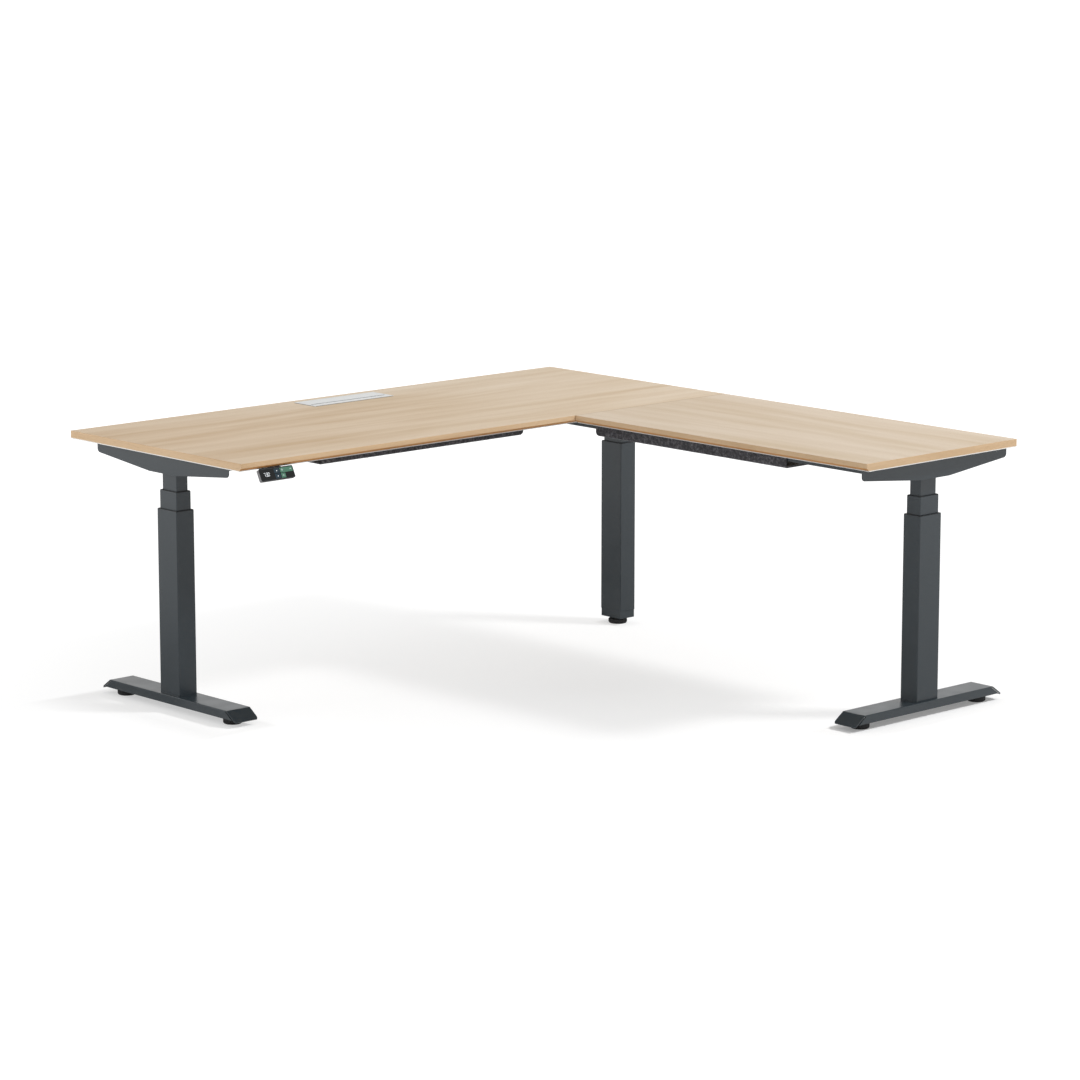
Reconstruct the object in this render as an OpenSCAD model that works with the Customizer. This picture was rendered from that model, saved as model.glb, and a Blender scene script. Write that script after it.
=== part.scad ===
// Corner standing desk with three electric lifting columns.
// Origin: floor level, centre of the desk's outline. +X runs along the main top to the right,
// +Y runs to the back, +Z is up. Millimetres. Drawn at its everyday sitting height.

/* [Desk tops] */
// Length of the main top
main_length = 1800; // [1500:10:2100]
// Depth of the main top, front to back
main_depth = 750; // [700:10:850]
// Length of the return top in front of the main top
return_length = 1110; // [1000:10:1400]
// Width of the return top
return_width = 600; // [590:5:760]
// Thickness of both boards
top_thickness = 22; // [20:0.5:30]
// Height of the working surface above the floor
surface_height = 730; // [710:5:790]
// Depth and height of the sloped cut under the front edges
edge_bevel = 9; // [4:1:12]

/* [Lifting columns] */
// Long side of the outer tube
outer_tube_long = 85; // [82:1:100]
// Short side of the outer tube
outer_tube_short = 60; // [58:1:70]
// Length of the outer tube
outer_tube_length = 509; // [480:1:530]
// Long side of the middle tube
middle_tube_long = 74; // [73:0.5:76]
// Short side of the middle tube
middle_tube_short = 49; // [48:0.5:51]
// Long side of the inner tube
inner_tube_long = 63; // [61:0.5:64]
// Short side of the inner tube
inner_tube_short = 38; // [36:0.5:39]
// Wall of all the tubes
tube_wall = 2; // [1.5:0.1:2.4]
// Outside corner radius of the tubes
tube_corner = 2.5; // [2.5:0.1:4]
// Distance from a top's edge to the centre of its column
column_inset = 70; // [60:1:90]
// How far each stage can retract from the height drawn
stage_down = 40; // [30:1:45]
// How far each stage can extend from the height drawn
stage_up = 285; // [250:5:300]
// Height of the guide bushes at the tube mouths
bush_height = 24; // [15:1:30]
// Height of the bush rim that shows above the tube
bush_rim = 1.6; // [1:0.2:3]

/* [Drive] */
// Diameter of the threaded rod that stands on the base plate
base_rod_d = 16; // [15:0.2:16.8]
// Bore of the threaded rod
base_rod_bore = 10; // [9:0.2:11]
// Outer diameter of the hollow lift screw
lift_screw_d = 24; // [23:0.2:26]
// Bore of the hollow lift screw
lift_screw_bore = 18; // [17.4:0.2:19]
// Diameter of the drive shaft that hangs from the gearbox
drive_shaft_d = 8; // [7:0.2:8.6]
// Height of the nuts and screw plugs
nut_height = 25; // [18:1:30]
// Length of the gearbox along the bracket
gearbox_long = 63; // [60:1:70]
// Width of the gearbox across the bracket
gearbox_wide = 58; // [56:1:64]
// Height of the gearbox
gearbox_high = 42; // [36:1:44]
// Diameter of the motor
motor_d = 36; // [30:1:37]
// Length of the motor
motor_length = 85; // [60:1:95]

/* [Feet] */
// Overall length of a T foot
foot_length = 592; // [560:2:640]
// Length of the flat part of a T foot
foot_flat = 517; // [500:1:530]
// Width of the feet
foot_width = 79; // [74:1:90]
// Height of the feet's top face above the floor
foot_top_z = 43; // [40:1:48]
// Height of the feet's side edge above the floor
foot_side_z = 19.5; // [17:0.5:22]
// Height of the sloped ends' outer edge above the floor
foot_tip_z = 16.5; // [15:0.5:19]
// Sheet thickness of the feet
foot_sheet = 3; // [2.5:0.1:4]
// Radius of the sloped ends' outer corners
foot_corner = 8; // [4:0.5:10]
// Slit between a foot's side walls and its sloped ends
foot_slit = 3; // [2:0.25:4]
// Thickness of the column's base plate
base_plate = 5; // [4:0.5:8]
// Distance from a T foot's centre to its glides
glide_offset = 235; // [215:1:245]
// Diameter of the T feet's glide pads
glide_d = 52; // [44:1:60]
// Diameter of the corner glide pad
corner_glide_d = 56; // [48:1:56]
// Height of the glide pads
glide_height = 14; // [11:0.5:15]
// Diameter of the glide studs
glide_stud_d = 10; // [8:1:12]
// How far the corner foot block is set back from the tube's faces
corner_block_step = 1.5; // [0.5:0.5:4]

/* [Brackets and rails] */
// Length of the side brackets
bracket_length = 577; // [540:1:600]
// Width of the side brackets
bracket_width = 88; // [84:1:96]
// Depth of the brackets over the column
bracket_depth = 53.5; // [52:0.5:58]
// Depth of the brackets at their ends
bracket_end_depth = 29; // [26:0.5:36]
// Length of the bracket's deep flat part
bracket_flat = 114; // [110:2:140]
// Length of the folded housing around the gearbox
housing_length = 200; // [190:5:230]
// Radius of the bracket's lower end corners
bracket_corner = 10; // [4:1:14]
// Sheet thickness of the brackets
bracket_sheet = 2.5; // [2:0.1:3]
// Width of the outer plate's screw flange
plate_flange = 25; // [20:1:28]
// Width of the screw flange on the housing's inner wall
bracket_flange = 12; // [10:0.5:14]
// Distance from a frame's centre line to its rails
rail_offset = 190; // [150:1:195]
// Width of the rails
rail_width = 20; // [18:1:26]
// Height of the rails
rail_height = 30; // [26:1:30]
// Sheet thickness of the rails
rail_sheet = 2; // [1.5:0.1:3]
// Thickness of the rails' end plates
rail_end = 4; // [3:0.5:6]

/* [Cable trays] */
// Length of each tray
tray_length = 743; // [600:1:800]
// Width of each tray
tray_width = 150; // [100:1:200]
// Depth of each tray below the boards
tray_depth = 49; // [40:1:60]
// Thickness of the felt
tray_felt = 5; // [4:0.5:8]
// Width of the tray's back flange
tray_flange = 20; // [16:1:30]
// Distance from the main top's left edge to its tray
main_tray_start = 414; // [380:1:460]
// How far the return tray reaches under the main top
return_tray_lap = 16; // [0:1:40]
// Bevel at the lower corner of the trays' far ends
tray_end_bevel = 8; // [4:1:14]

/* [Cable flap] */
// Distance from the main top's left edge to the flap
flap_from_left = 764; // [700:1:820]
// Distance from the main top's back edge to the flap
flap_from_back = 34; // [30:1:60]
// Length of the flap frame
flap_length = 297; // [240:1:320]
// Depth of the flap frame
flap_depth = 95; // [90:1:110]
// Width of the frame's border behind the lid
flap_border = 7; // [6.5:0.5:10]
// Width of the frame's border at the lid's ends
flap_end_border = 9.5; // [9:0.5:12]
// Depth of the lid
lid_depth = 55; // [50:1:60]
// Width of the cable slot in front of the lid
slot_width = 5.5; // [4.5:0.5:8]
// Thickness of the frame's rim above the board
flap_rim = 1.5; // [1:0.1:2]
// Thickness of the lid
lid_thickness = 2; // [1.5:0.1:2.5]
// How far the frame's rim overlaps the board around the cut-out
rim_overlap = 6; // [4:0.5:6]
// Wall of the collar that lines the cut-out
collar_wall = 2; // [1.5:0.1:3]
// Diameter of the lid's hinge pins
hinge_pin_d = 3; // [2.5:0.1:3.2]

/* [Control box and handset] */
// Distance from the main top's left edge to the control box
box_from_left = 765; // [700:5:900]
// Distance from the main frame's centre line back to the control box's middle
box_from_middle = 30; // [25:1:60]
// Length of the control box
box_length = 230; // [180:1:260]
// Width of the control box
box_width = 95; // [80:1:110]
// Height of the control box
box_height = 34; // [30:1:40]
// Distance from the main top's left edge to the handset
handset_from_left = 58; // [50:1:200]
// Width of the handset
handset_width = 115; // [110:1:130]
// Height of the handset's face
face_height = 34; // [33:0.5:38]
// Lean of the handset's face from the vertical, in degrees
face_lean = 27; // [20:1:32]
// Thickness of the handset's case
handset_case = 9; // [8:0.5:12]
// Corner radius of the handset's case
handset_corner = 4; // [2.5:0.5:4]
// Width of the foot that screws the handset to the board
mount_width = 44; // [40:1:50]
// How far the handset's foot reaches under the board
mount_depth = 45; // [42:1:60]
// Thickness of the handset's face panel
face_panel = 1.5; // [1:0.1:2]
// Travel of the keys
key_travel = 0.8; // [0.5:0.1:1]
// Gap around the keys
key_gap = 0.2; // [0.15:0.05:0.4]

/* [Fasteners and clearances] */
// Shank diameter of the wood screws
wood_screw_d = 4; // [3:0.5:5]
// How deep the wood screws go into the boards
wood_screw_depth = 14; // [10:1:16]
// Shank diameter of the frame bolts
frame_bolt_d = 6; // [5:0.5:6]
// Height of the bolt heads
bolt_head_h = 3.5; // [3:0.5:4]
// Radial clearance of turning and threaded fits
fit_gap = 0.05; // [0.02:0.01:0.1]
// Clearance between sliding tubes and their bushes
slide_gap = 0.2; // [0.15:0.05:0.4]

/* [Hidden] */
$fn = 48;
LEGS = ["left", "corner", "right"];
LEG_PARTS = ["foot", "foot_bolts", "outer_tube", "outer_bush", "base_rod", "middle_tube",
             "middle_bush", "lift_screw", "inner_tube", "lift_nut", "drive_shaft", "motor", "bracket"];
GLIDES = ["left_front_glide", "left_back_glide", "right_left_glide", "right_right_glide", "corner_glide"];

cut = 1;                                  // how far cutting shapes reach past a face
steel = [0.22, 0.25, 0.26];
black = [0.08, 0.08, 0.08];
oak = [0.84, 0.76, 0.66];
felt = [0.24, 0.24, 0.26];
bright = [0.75, 0.75, 0.77];
white = [0.92, 0.92, 0.93];

// Plan of the desk
left_x = -main_length / 2;
right_x = main_length / 2;
back_y = (main_depth + return_length) / 2;
seam_y = back_y - main_depth;
front_y = -back_y;
main_mid_y = back_y - main_depth / 2;
return_mid_x = right_x - return_width / 2;
inner_x = right_x - return_width;
leg_x = [left_x + column_inset, right_x - column_inset, return_mid_x];
leg_y = [main_mid_y, main_mid_y, front_y + column_inset];
leg_turn = [0, 0, -90];
LEFT = 0;
CORNER = 1;
RIGHT = 2;

// Heights
under_z = surface_height - top_thickness;
bracket_z = under_z - bracket_depth;
base_top_z = foot_top_z + base_plate;
outer_top_z = foot_top_z + outer_tube_length;
stage_show = (bracket_z - outer_top_z) / 2;
middle_top_z = outer_top_z + stage_show;
rod_flange_h = 4;
run_out = 15;                             // space left under a stage at its lowest
end_plate = 5;                            // plates that close the tubes' ends
bearing_gap = 0.3;
screw_flange_h = 5;
middle_bottom_z = base_top_z + rod_flange_h + stage_down + run_out;
screw_bottom_z = middle_bottom_z + end_plate + bearing_gap;
inner_bottom_z = screw_bottom_z + screw_flange_h + stage_down + run_out;
screw_top_z = bracket_z - stage_down - run_out - end_plate;
rod_top_z = screw_bottom_z + stage_up + 2 * nut_height;
shaft_bottom_z = screw_top_z - stage_up - 2 * nut_height;
gearbox_z = bracket_z + bracket_sheet;
shaft_socket = 10;

module at_leg(i) translate([leg_x[i], leg_y[i], 0]) rotate([0, 0, leg_turn[i]]) children();

// Copies at the four corners of a rectangle
module at_corners(dx, dy)
  for (sx = [-1, 1]) for (sy = [-1, 1]) translate([sx * dx, sy * dy, 0]) children();

// Rectangle with round corners
module round_rect(w, d, r) {
  square([w - 2 * r, d], center = true);
  square([w, d - 2 * r], center = true);
  at_corners(w / 2 - r, d / 2 - r) circle(r = r);
}

// Box centred in plan, standing on z
module slab(w, d, z0, z1) translate([-w / 2, -d / 2, z0]) cube([w, d, z1 - z0]);

// Upright cylinder between two heights
module post(d, z0, z1) translate([0, 0, z0]) cylinder(d = d, h = z1 - z0);

// Rectangular tube with its short side along X
module tube(short, long, wall, z0, z1) {
  translate([0, 0, z0]) difference() {
    linear_extrude(z1 - z0) round_rect(short, long, tube_corner);
    translate([0, 0, -cut]) linear_extrude(z1 - z0 + 2 * cut)
      square([short - 2 * wall, long - 2 * wall], center = true);
  }
}

// ---- Lifting column, drawn at the origin with its long side along Y ----

base_bolt_inset = [14, 12];               // from the tube's faces to the bolts' centres
base_bolt_x = outer_tube_short / 2 - base_bolt_inset[0];
base_bolt_y = outer_tube_long / 2 - base_bolt_inset[1];
foot_bolt_d = 8;
foot_bolt_head_d = 13;
foot_bolt_head_h = 5;
foot_bolt_reach = base_plate - 0.5;

module foot_bolt_holes(z0, z1)
  at_corners(base_bolt_x, base_bolt_y) post(foot_bolt_d + 2 * fit_gap, z0, z1);

module outer_tube() color(steel) difference() {
  union() {
    tube(outer_tube_short, outer_tube_long, tube_wall, foot_top_z, outer_top_z);
    slab(outer_tube_short - 2 * tube_wall, outer_tube_long - 2 * tube_wall, foot_top_z, base_top_z);
  }
  foot_bolt_holes(foot_top_z - cut, base_top_z + cut);
}

// Plastic guide bush pressed into a tube's mouth, with a thin rim on top of the tube
module guide_bush(outer_short, outer_long, inner_short, inner_long, top_z) color(black) difference() {
  union() {
    slab(outer_short - 2 * tube_wall, outer_long - 2 * tube_wall, top_z - bush_height, top_z);
    translate([0, 0, top_z]) linear_extrude(bush_rim)
      round_rect(outer_short - tube_wall, outer_long - tube_wall, tube_corner - tube_wall / 2);
  }
  translate([0, 0, top_z - bush_height - cut]) linear_extrude(bush_height + bush_rim + 2 * cut)
    round_rect(inner_short + 2 * slide_gap, inner_long + 2 * slide_gap, tube_corner + slide_gap);
}

module outer_bush()
  guide_bush(outer_tube_short, outer_tube_long, middle_tube_short, middle_tube_long, outer_top_z);
module middle_bush()
  guide_bush(middle_tube_short, middle_tube_long, inner_tube_short, inner_tube_long, middle_top_z);

rod_flange_d = 30;

module base_rod() color(bright) difference() {
  union() {
    post(rod_flange_d, base_top_z, base_top_z + rod_flange_h);
    post(base_rod_d, base_top_z, rod_top_z);
  }
  post(base_rod_bore, base_top_z + rod_flange_h, rod_top_z + cut);
}

screw_flange_edge = 4;
screw_flange_d = lift_screw_d + 2 * screw_flange_edge;
bearing_wall = 2;
rod_clearance = 2;

module middle_tube() color(steel) difference() {
  union() {
    tube(middle_tube_short, middle_tube_long, tube_wall, middle_bottom_z, middle_top_z);
    slab(middle_tube_short - 2 * tube_wall, middle_tube_long - 2 * tube_wall,
         middle_bottom_z, middle_bottom_z + end_plate);
    post(screw_flange_d + 2 * bearing_gap + 2 * bearing_wall, middle_bottom_z,
         screw_bottom_z + screw_flange_h);
  }
  post(screw_flange_d + 2 * bearing_gap,
       middle_bottom_z + end_plate, screw_bottom_z + screw_flange_h + cut);
  post(base_rod_d + 2 * rod_clearance, middle_bottom_z - cut, middle_bottom_z + end_plate + cut);
}

// Hollow screw: its lower plug runs on the base rod, its upper plug slides on the drive shaft
module lift_screw() color(bright) difference() {
  union() {
    post(screw_flange_d, screw_bottom_z, screw_bottom_z + screw_flange_h);
    post(lift_screw_d, screw_bottom_z, screw_top_z);
  }
  post(base_rod_d + 2 * fit_gap, screw_bottom_z - cut, screw_bottom_z + nut_height + cut);
  post(lift_screw_bore, screw_bottom_z + nut_height, screw_top_z - nut_height);
  post(drive_shaft_d + 2 * fit_gap, screw_top_z - nut_height - cut, screw_top_z + cut);
}

head_bolt_inset = [7, 8];                 // from the tube's faces to the bolts' centres
head_bolt_x = inner_tube_short / 2 - head_bolt_inset[0];
head_bolt_y = inner_tube_long / 2 - head_bolt_inset[1];
head_bolt_d = 5;
head_bolt_head_d = 8;
shaft_clearance = 3;
shaft_hole = drive_shaft_d + 2 * shaft_clearance;
motor_headroom = 5;                       // between the motor and the board

module head_bolt_holes(z0, z1)
  at_corners(head_bolt_x, head_bolt_y) post(head_bolt_d + 2 * fit_gap, z0, z1);

module inner_tube() color(steel) difference() {
  union() {
    tube(inner_tube_short, inner_tube_long, tube_wall, inner_bottom_z, bracket_z);
    slab(inner_tube_short - 2 * tube_wall, inner_tube_long - 2 * tube_wall,
         bracket_z - end_plate, bracket_z);
  }
  post(shaft_hole, bracket_z - end_plate - cut, bracket_z + cut);
  head_bolt_holes(bracket_z - end_plate - cut, bracket_z + cut);
}

module lift_nut() color(white) difference() {
  slab(inner_tube_short - 2 * tube_wall, inner_tube_long - 2 * tube_wall,
       inner_bottom_z, inner_bottom_z + nut_height);
  post(lift_screw_d + 2 * fit_gap, inner_bottom_z - cut, inner_bottom_z + nut_height + cut);
}

module drive_shaft() color(bright) post(drive_shaft_d, shaft_bottom_z, gearbox_z + shaft_socket);

module motor() color(black) {
  difference() {
    slab(gearbox_wide, gearbox_long, gearbox_z, gearbox_z + gearbox_high);
    post(drive_shaft_d + 2 * fit_gap, gearbox_z - cut, gearbox_z + shaft_socket + bearing_gap);
    head_bolt_holes(gearbox_z - cut, gearbox_z + gearbox_high + cut);
  }
  translate([0, gearbox_long / 2, under_z - motor_d / 2 - motor_headroom]) rotate([-90, 0, 0])
    cylinder(d = motor_d, h = motor_length);
}

// Side view of the bracket as points along its length and up, hanging from z = 0.
// The ends' lower corners are arcs.
bracket_slope = atan((bracket_depth - bracket_end_depth) / ((bracket_length - bracket_flat) / 2));
function bracket_end_arc(inset) = [
  for (a = [0 : 10 : 90])
    [bracket_length / 2 - inset - bracket_corner * (1 - cos(a)),
     -(bracket_end_depth - inset)
       + bracket_corner * (1 - sin(a)) - bracket_corner * (1 - cos(a)) * tan(bracket_slope)]
];
function bracket_half(inset) = concat(
  [[bracket_length / 2 - inset, 0]], bracket_end_arc(inset),
  [[bracket_flat / 2, -(bracket_depth - inset)]]);
function mirrored(points) = [for (i = [len(points) - 1 : -1 : 0]) [-points[i][0], points[i][1]]];
function bracket_side(inset) = concat(bracket_half(inset), mirrored(bracket_half(inset)));

// Extrudes a side view (along Y, up Z) across X
module across_x(width) rotate([90, 0, 90]) translate([0, 0, -width / 2]) linear_extrude(width) children();

rail_bolt_z = under_z - rail_height / 2;
bracket_inner = bracket_width / 2 - bracket_sheet;
screw_end_inset = 20;                     // from a flange's end to its outermost screw
plate_screw_x = bracket_inner - plate_flange / 2;
housing_screw_x = bracket_inner - bracket_flange / 2;
plate_end_screw_y = bracket_length / 2 - screw_end_inset;
housing_screw_y = housing_length / 2 - screw_end_inset;
screwdriver_d = 10;
rail_room = 1;                            // on each side of a rail in its notch
stud_root = 1;                            // how deep the rail studs sit in the plate
return_outer_rail_x = right_x - column_inset;

// Places along the bracket where rails are fixed to its outer plate, for each leg
function rail_places(i) = i == RIGHT
  ? [return_outer_rail_x - return_mid_x, -rail_offset] : [-rail_offset, rail_offset];
// Side of the bracket that faces the rails; the outer plate is on the other side
function rail_side(i) = i == LEFT ? 1 : -1;

module housing_screw_places(i) for (x = [-plate_screw_x, housing_screw_x])
  for (y = [-housing_screw_y, housing_screw_y]) translate([rail_side(i) * x, y, 0]) children();

module flange_screw_places(i) {
  housing_screw_places(i) children();
  for (y = [-plate_end_screw_y, plate_end_screw_y])
    translate([-rail_side(i) * plate_screw_x, y, 0]) children();
}

// Axis along X from the inner face of the outer plate towards the rail
module rail_bolt_places(i) for (y = rail_places(i))
  translate([-rail_side(i) * bracket_inner, y, rail_bolt_z])
    rotate([0, rail_side(i) * 90, 0]) children();

// Box between two opposite corners, given in any order
module span(a, b) translate([min(a[0], b[0]), min(a[1], b[1]), min(a[2], b[2])])
  cube([abs(a[0] - b[0]), abs(a[1] - b[1]), abs(a[2] - b[2])]);

// Folded bracket: an outer plate with a screw flange, and a channel around the gearbox
module bracket(i) color(steel) difference() {
  translate([0, 0, under_z]) difference() {
    across_x(bracket_width) polygon(bracket_side(0));
    difference() {
      across_x(2 * bracket_inner) polygon(bracket_side(bracket_sheet));
      slab(bracket_width, bracket_length, -bracket_sheet, cut);
    }
    span([-rail_side(i) * (bracket_inner - plate_flange), -housing_length / 2 - cut, -bracket_sheet - cut],
         [rail_side(i) * (bracket_inner - bracket_flange), housing_length / 2 + cut, cut]);
    for (end = [-1, 1]) difference() {
      span([-rail_side(i) * bracket_inner, end * housing_length / 2, -bracket_depth - cut],
           [rail_side(i) * (bracket_width / 2 + cut), end * (bracket_length / 2 + cut), cut]);
      span([-rail_side(i) * (bracket_inner + cut), end * (housing_length / 2 - cut), -bracket_sheet],
           [-rail_side(i) * (bracket_inner - plate_flange), end * bracket_length, 2 * cut]);
    }
    for (y = rail_places(i))
      span([-rail_side(i) * bracket_inner, y - rail_width / 2 - rail_room, -bracket_sheet - cut],
           [-rail_side(i) * (bracket_inner - plate_flange - cut), y + rail_width / 2 + rail_room, cut]);
  }
  post(shaft_hole, bracket_z - cut, gearbox_z + cut);
  head_bolt_holes(bracket_z - cut, gearbox_z + cut);
  flange_screw_places(i) post(wood_screw_d + 2 * fit_gap, under_z - bracket_sheet - cut, under_z + cut);
  housing_screw_places(i) post(screwdriver_d, bracket_z - cut, under_z - bracket_end_depth);
  rail_bolt_places(i) post(frame_bolt_d + 2 * fit_gap, -stud_root, cut);
}

// ---- Feet ----

insert_d = 20;
insert_h = 18;

// Threaded hole for a glide's stud
module stud_hole(z0, z1) post(glide_stud_d + 2 * fit_gap, z0, z1);

foot_half = foot_length / 2;
foot_flat_half = foot_flat / 2;
foot_slope = (foot_top_z - foot_tip_z) / (foot_half - foot_flat_half);
foot_slant = atan(foot_slope);
foot_edge_y = foot_half - foot_sheet * sin(foot_slant);
foot_edge_z = foot_tip_z - foot_sheet * cos(foot_slant);
block_short = outer_tube_short - 2 * corner_block_step;
block_long = outer_tube_long - 2 * corner_block_step;

// Distance from the foot's centre to the sloped end's inner side, at height z
function inner_slope_y(z) = foot_edge_y - (z - foot_edge_z) / foot_slope;

// The same to the end of a side wall, which stops short of the sloped end
function foot_wall_y(z) = inner_slope_y(z) - foot_slit / sin(foot_slant);

module at_glides() for (y = [-glide_offset, glide_offset]) translate([0, y, 0]) children();

// Folded sheet foot: flat top, side walls, and sloped ends with a thin edge and rounded corners
module t_foot() color(steel) difference() {
  union() {
    difference() {
      across_x(foot_width) polygon([
        [-foot_edge_y, foot_edge_z], [foot_edge_y, foot_edge_z], [foot_half, foot_tip_z],
        [foot_flat_half, foot_top_z], [-foot_flat_half, foot_top_z], [-foot_half, foot_tip_z]]);
      across_x(foot_width + 2 * cut) polygon([
        [-inner_slope_y(foot_edge_z - cut), foot_edge_z - cut],
        [inner_slope_y(foot_edge_z - cut), foot_edge_z - cut],
        [inner_slope_y(foot_top_z - foot_sheet), foot_top_z - foot_sheet],
        [-inner_slope_y(foot_top_z - foot_sheet), foot_top_z - foot_sheet]]);
    }
    for (side = [-1, 1]) translate([side * (foot_width - foot_sheet) / 2, 0, 0])
      across_x(foot_sheet) polygon([
        [-foot_wall_y(foot_side_z), foot_side_z], [foot_wall_y(foot_side_z), foot_side_z],
        [foot_wall_y(foot_top_z - foot_sheet / 2), foot_top_z - foot_sheet / 2],
        [-foot_wall_y(foot_top_z - foot_sheet / 2), foot_top_z - foot_sheet / 2]]);
    at_glides() post(insert_d, foot_top_z - foot_sheet - insert_h, foot_top_z - foot_sheet / 2);
  }
  foot_bolt_holes(foot_top_z - foot_sheet - cut, foot_top_z + cut);
  at_glides() stud_hole(foot_edge_z, foot_top_z - foot_sheet);
  translate([0, 0, foot_edge_z - cut]) linear_extrude(foot_top_z - foot_edge_z) difference() {
    square([foot_width + 2 * cut, foot_length + 2 * cut], center = true);
    round_rect(foot_width, foot_length, foot_corner);
    square([foot_width + 4 * cut, foot_length - 2 * foot_corner], center = true);
  }
}

// Folded box under the corner column
module corner_foot() color(steel) difference() {
  union() {
    difference() {
      slab(block_short, block_long, foot_side_z, foot_top_z);
      slab(block_short - 2 * foot_sheet, block_long - 2 * foot_sheet,
           foot_side_z - cut, foot_top_z - foot_sheet);
    }
    post(insert_d, foot_top_z - foot_sheet - insert_h, foot_top_z - foot_sheet / 2);
  }
  foot_bolt_holes(foot_top_z - foot_sheet - cut, foot_top_z + cut);
  stud_hole(foot_edge_z, foot_top_z - foot_sheet);
}

module foot(i) if (i == CORNER) corner_foot(); else t_foot();

module foot_bolts() color(bright) at_corners(base_bolt_x, base_bolt_y) {
  post(foot_bolt_head_d, foot_top_z - foot_sheet - foot_bolt_head_h, foot_top_z - foot_sheet);
  post(foot_bolt_d, foot_top_z - foot_sheet - foot_bolt_head_h / 2, foot_top_z + foot_bolt_reach);
}

stud_room = 4.5;                          // how far a stud can still be screwed in
pad_edge = 2.5;

// Levelling glide: round pad on a threaded stud
module glide(d) {
  color(black) rotate_extrude() polygon([
    [0, 0], [d / 2 - pad_edge, 0], [d / 2, pad_edge], [d / 2, glide_height - pad_edge / 2],
    [d / 2 - pad_edge / 2, glide_height], [0, glide_height]]);
  color(bright) post(glide_stud_d, glide_height - cut, foot_top_z - foot_sheet - stud_room);
}

glide_places = [
  [leg_x[LEFT], leg_y[LEFT] - glide_offset], [leg_x[LEFT], leg_y[LEFT] + glide_offset],
  [leg_x[RIGHT] - glide_offset, leg_y[RIGHT]], [leg_x[RIGHT] + glide_offset, leg_y[RIGHT]],
  [leg_x[CORNER], leg_y[CORNER]]];

// ---- Tops ----

tray_screws = 4;
tray_screw_inset = 60;
tray_face = rail_offset + rail_width / 2 + tray_felt;
box_x = left_x + box_from_left + box_length / 2;
box_y = main_mid_y + box_from_middle;
box_ear = 12;
handset_x = left_x + handset_from_left + handset_width / 2;
handset_screw_inset = 10;                 // from the foot's edges to its screws
handset_screw_x = mount_width / 2 - handset_screw_inset;
handset_screw_y = seam_y + mount_depth - handset_screw_inset;
mount_back = 8;                           // thickness of the foot's back edge

// Trays are drawn along +X with their outer wall on the -Y side at y = 0
module at_main_tray() translate([left_x + main_tray_start, main_mid_y - tray_face, 0]) children();
module at_return_tray() translate([return_mid_x - tray_face, seam_y + return_tray_lap, 0])
  rotate([0, 0, -90]) children();

module tray_screw_places() for (k = [0 : tray_screws - 1])
  translate([tray_screw_inset + k * (tray_length - 2 * tray_screw_inset) / (tray_screws - 1),
             tray_width + tray_flange / 2, 0]) children();

module box_screw_places() for (side = [-1, 1])
  translate([box_x + side * (box_length / 2 + box_ear / 2), box_y, 0]) children();

module handset_screw_places() for (side = [-1, 1])
  translate([handset_x + side * handset_screw_x, handset_screw_y, 0]) children();

// Every place where a wood screw enters a board from below, with the thickness it passes first
module wood_screw_places_brackets() for (i = [LEFT, CORNER, RIGHT])
  at_leg(i) flange_screw_places(i) children();
module wood_screw_places_trays() {
  at_main_tray() tray_screw_places() children();
  at_return_tray() tray_screw_places() children();
}

module pilot_hole() post(wood_screw_d + 2 * fit_gap, under_z - cut, under_z + wood_screw_depth + fit_gap);

module pilot_holes() {
  wood_screw_places_brackets() pilot_hole();
  wood_screw_places_trays() pilot_hole();
  box_screw_places() pilot_hole();
  handset_screw_places() pilot_hole();
}

flap_x = left_x + flap_from_left + flap_length / 2;
flap_y = back_y - flap_from_back - flap_depth / 2;
collar_length = flap_length - 2 * rim_overlap;
collar_depth = flap_depth - 2 * rim_overlap;
cutout_gap = 0.5;

module main_top() color(oak) difference() {
  translate([left_x, 0, 0]) rotate([90, 0, 90]) linear_extrude(main_length) polygon([
    [seam_y, surface_height], [seam_y, under_z + edge_bevel], [seam_y + edge_bevel, under_z],
    [back_y, under_z], [back_y, surface_height]]);
  translate([flap_x, flap_y, 0])
    slab(collar_length + 2 * cutout_gap, collar_depth + 2 * cutout_gap,
         under_z - cut, surface_height + cut);
  pilot_holes();
}

// The return's inner edge has the sloped cut; its end meets the main top's straight edge
module return_top() color(oak) difference() {
  translate([0, seam_y, 0]) rotate([90, 0, 0]) linear_extrude(return_length) polygon([
    [inner_x, surface_height], [inner_x, under_z + edge_bevel], [inner_x + edge_bevel, under_z],
    [right_x, under_z], [right_x, surface_height]]);
  pilot_holes();
}

// ---- Frame rails: folded channels, open to the board, with closed ends ----

// Runs along +X from the origin
module rail(length) difference() {
  translate([0, -rail_width / 2, under_z - rail_height]) cube([length, rail_width, rail_height]);
  translate([rail_end, -rail_width / 2 + rail_sheet, under_z - rail_height + rail_sheet])
    cube([length - 2 * rail_end, rail_width - 2 * rail_sheet, rail_height]);
  for (x = [0, length]) translate([x, 0, rail_bolt_z]) rotate([0, 90, 0])
    post(frame_bolt_d + 2 * fit_gap, -rail_end - cut, rail_end + cut);
}

main_rail_x = leg_x[LEFT] - bracket_inner;
main_rail_length = leg_x[CORNER] + bracket_inner - main_rail_x;
return_rail_y = leg_y[RIGHT] - bracket_inner;
inner_rail_x = return_mid_x - rail_offset;
return_rail_length = main_mid_y - rail_offset - rail_width / 2 - return_rail_y;

module main_rails() color(steel) difference() {
  for (side = [-1, 1]) translate([main_rail_x, main_mid_y + side * rail_offset, 0]) rail(main_rail_length);
  junction_bolt_places() post(frame_bolt_d + 2 * fit_gap, -rail_sheet - cut, cut);
}

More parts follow.
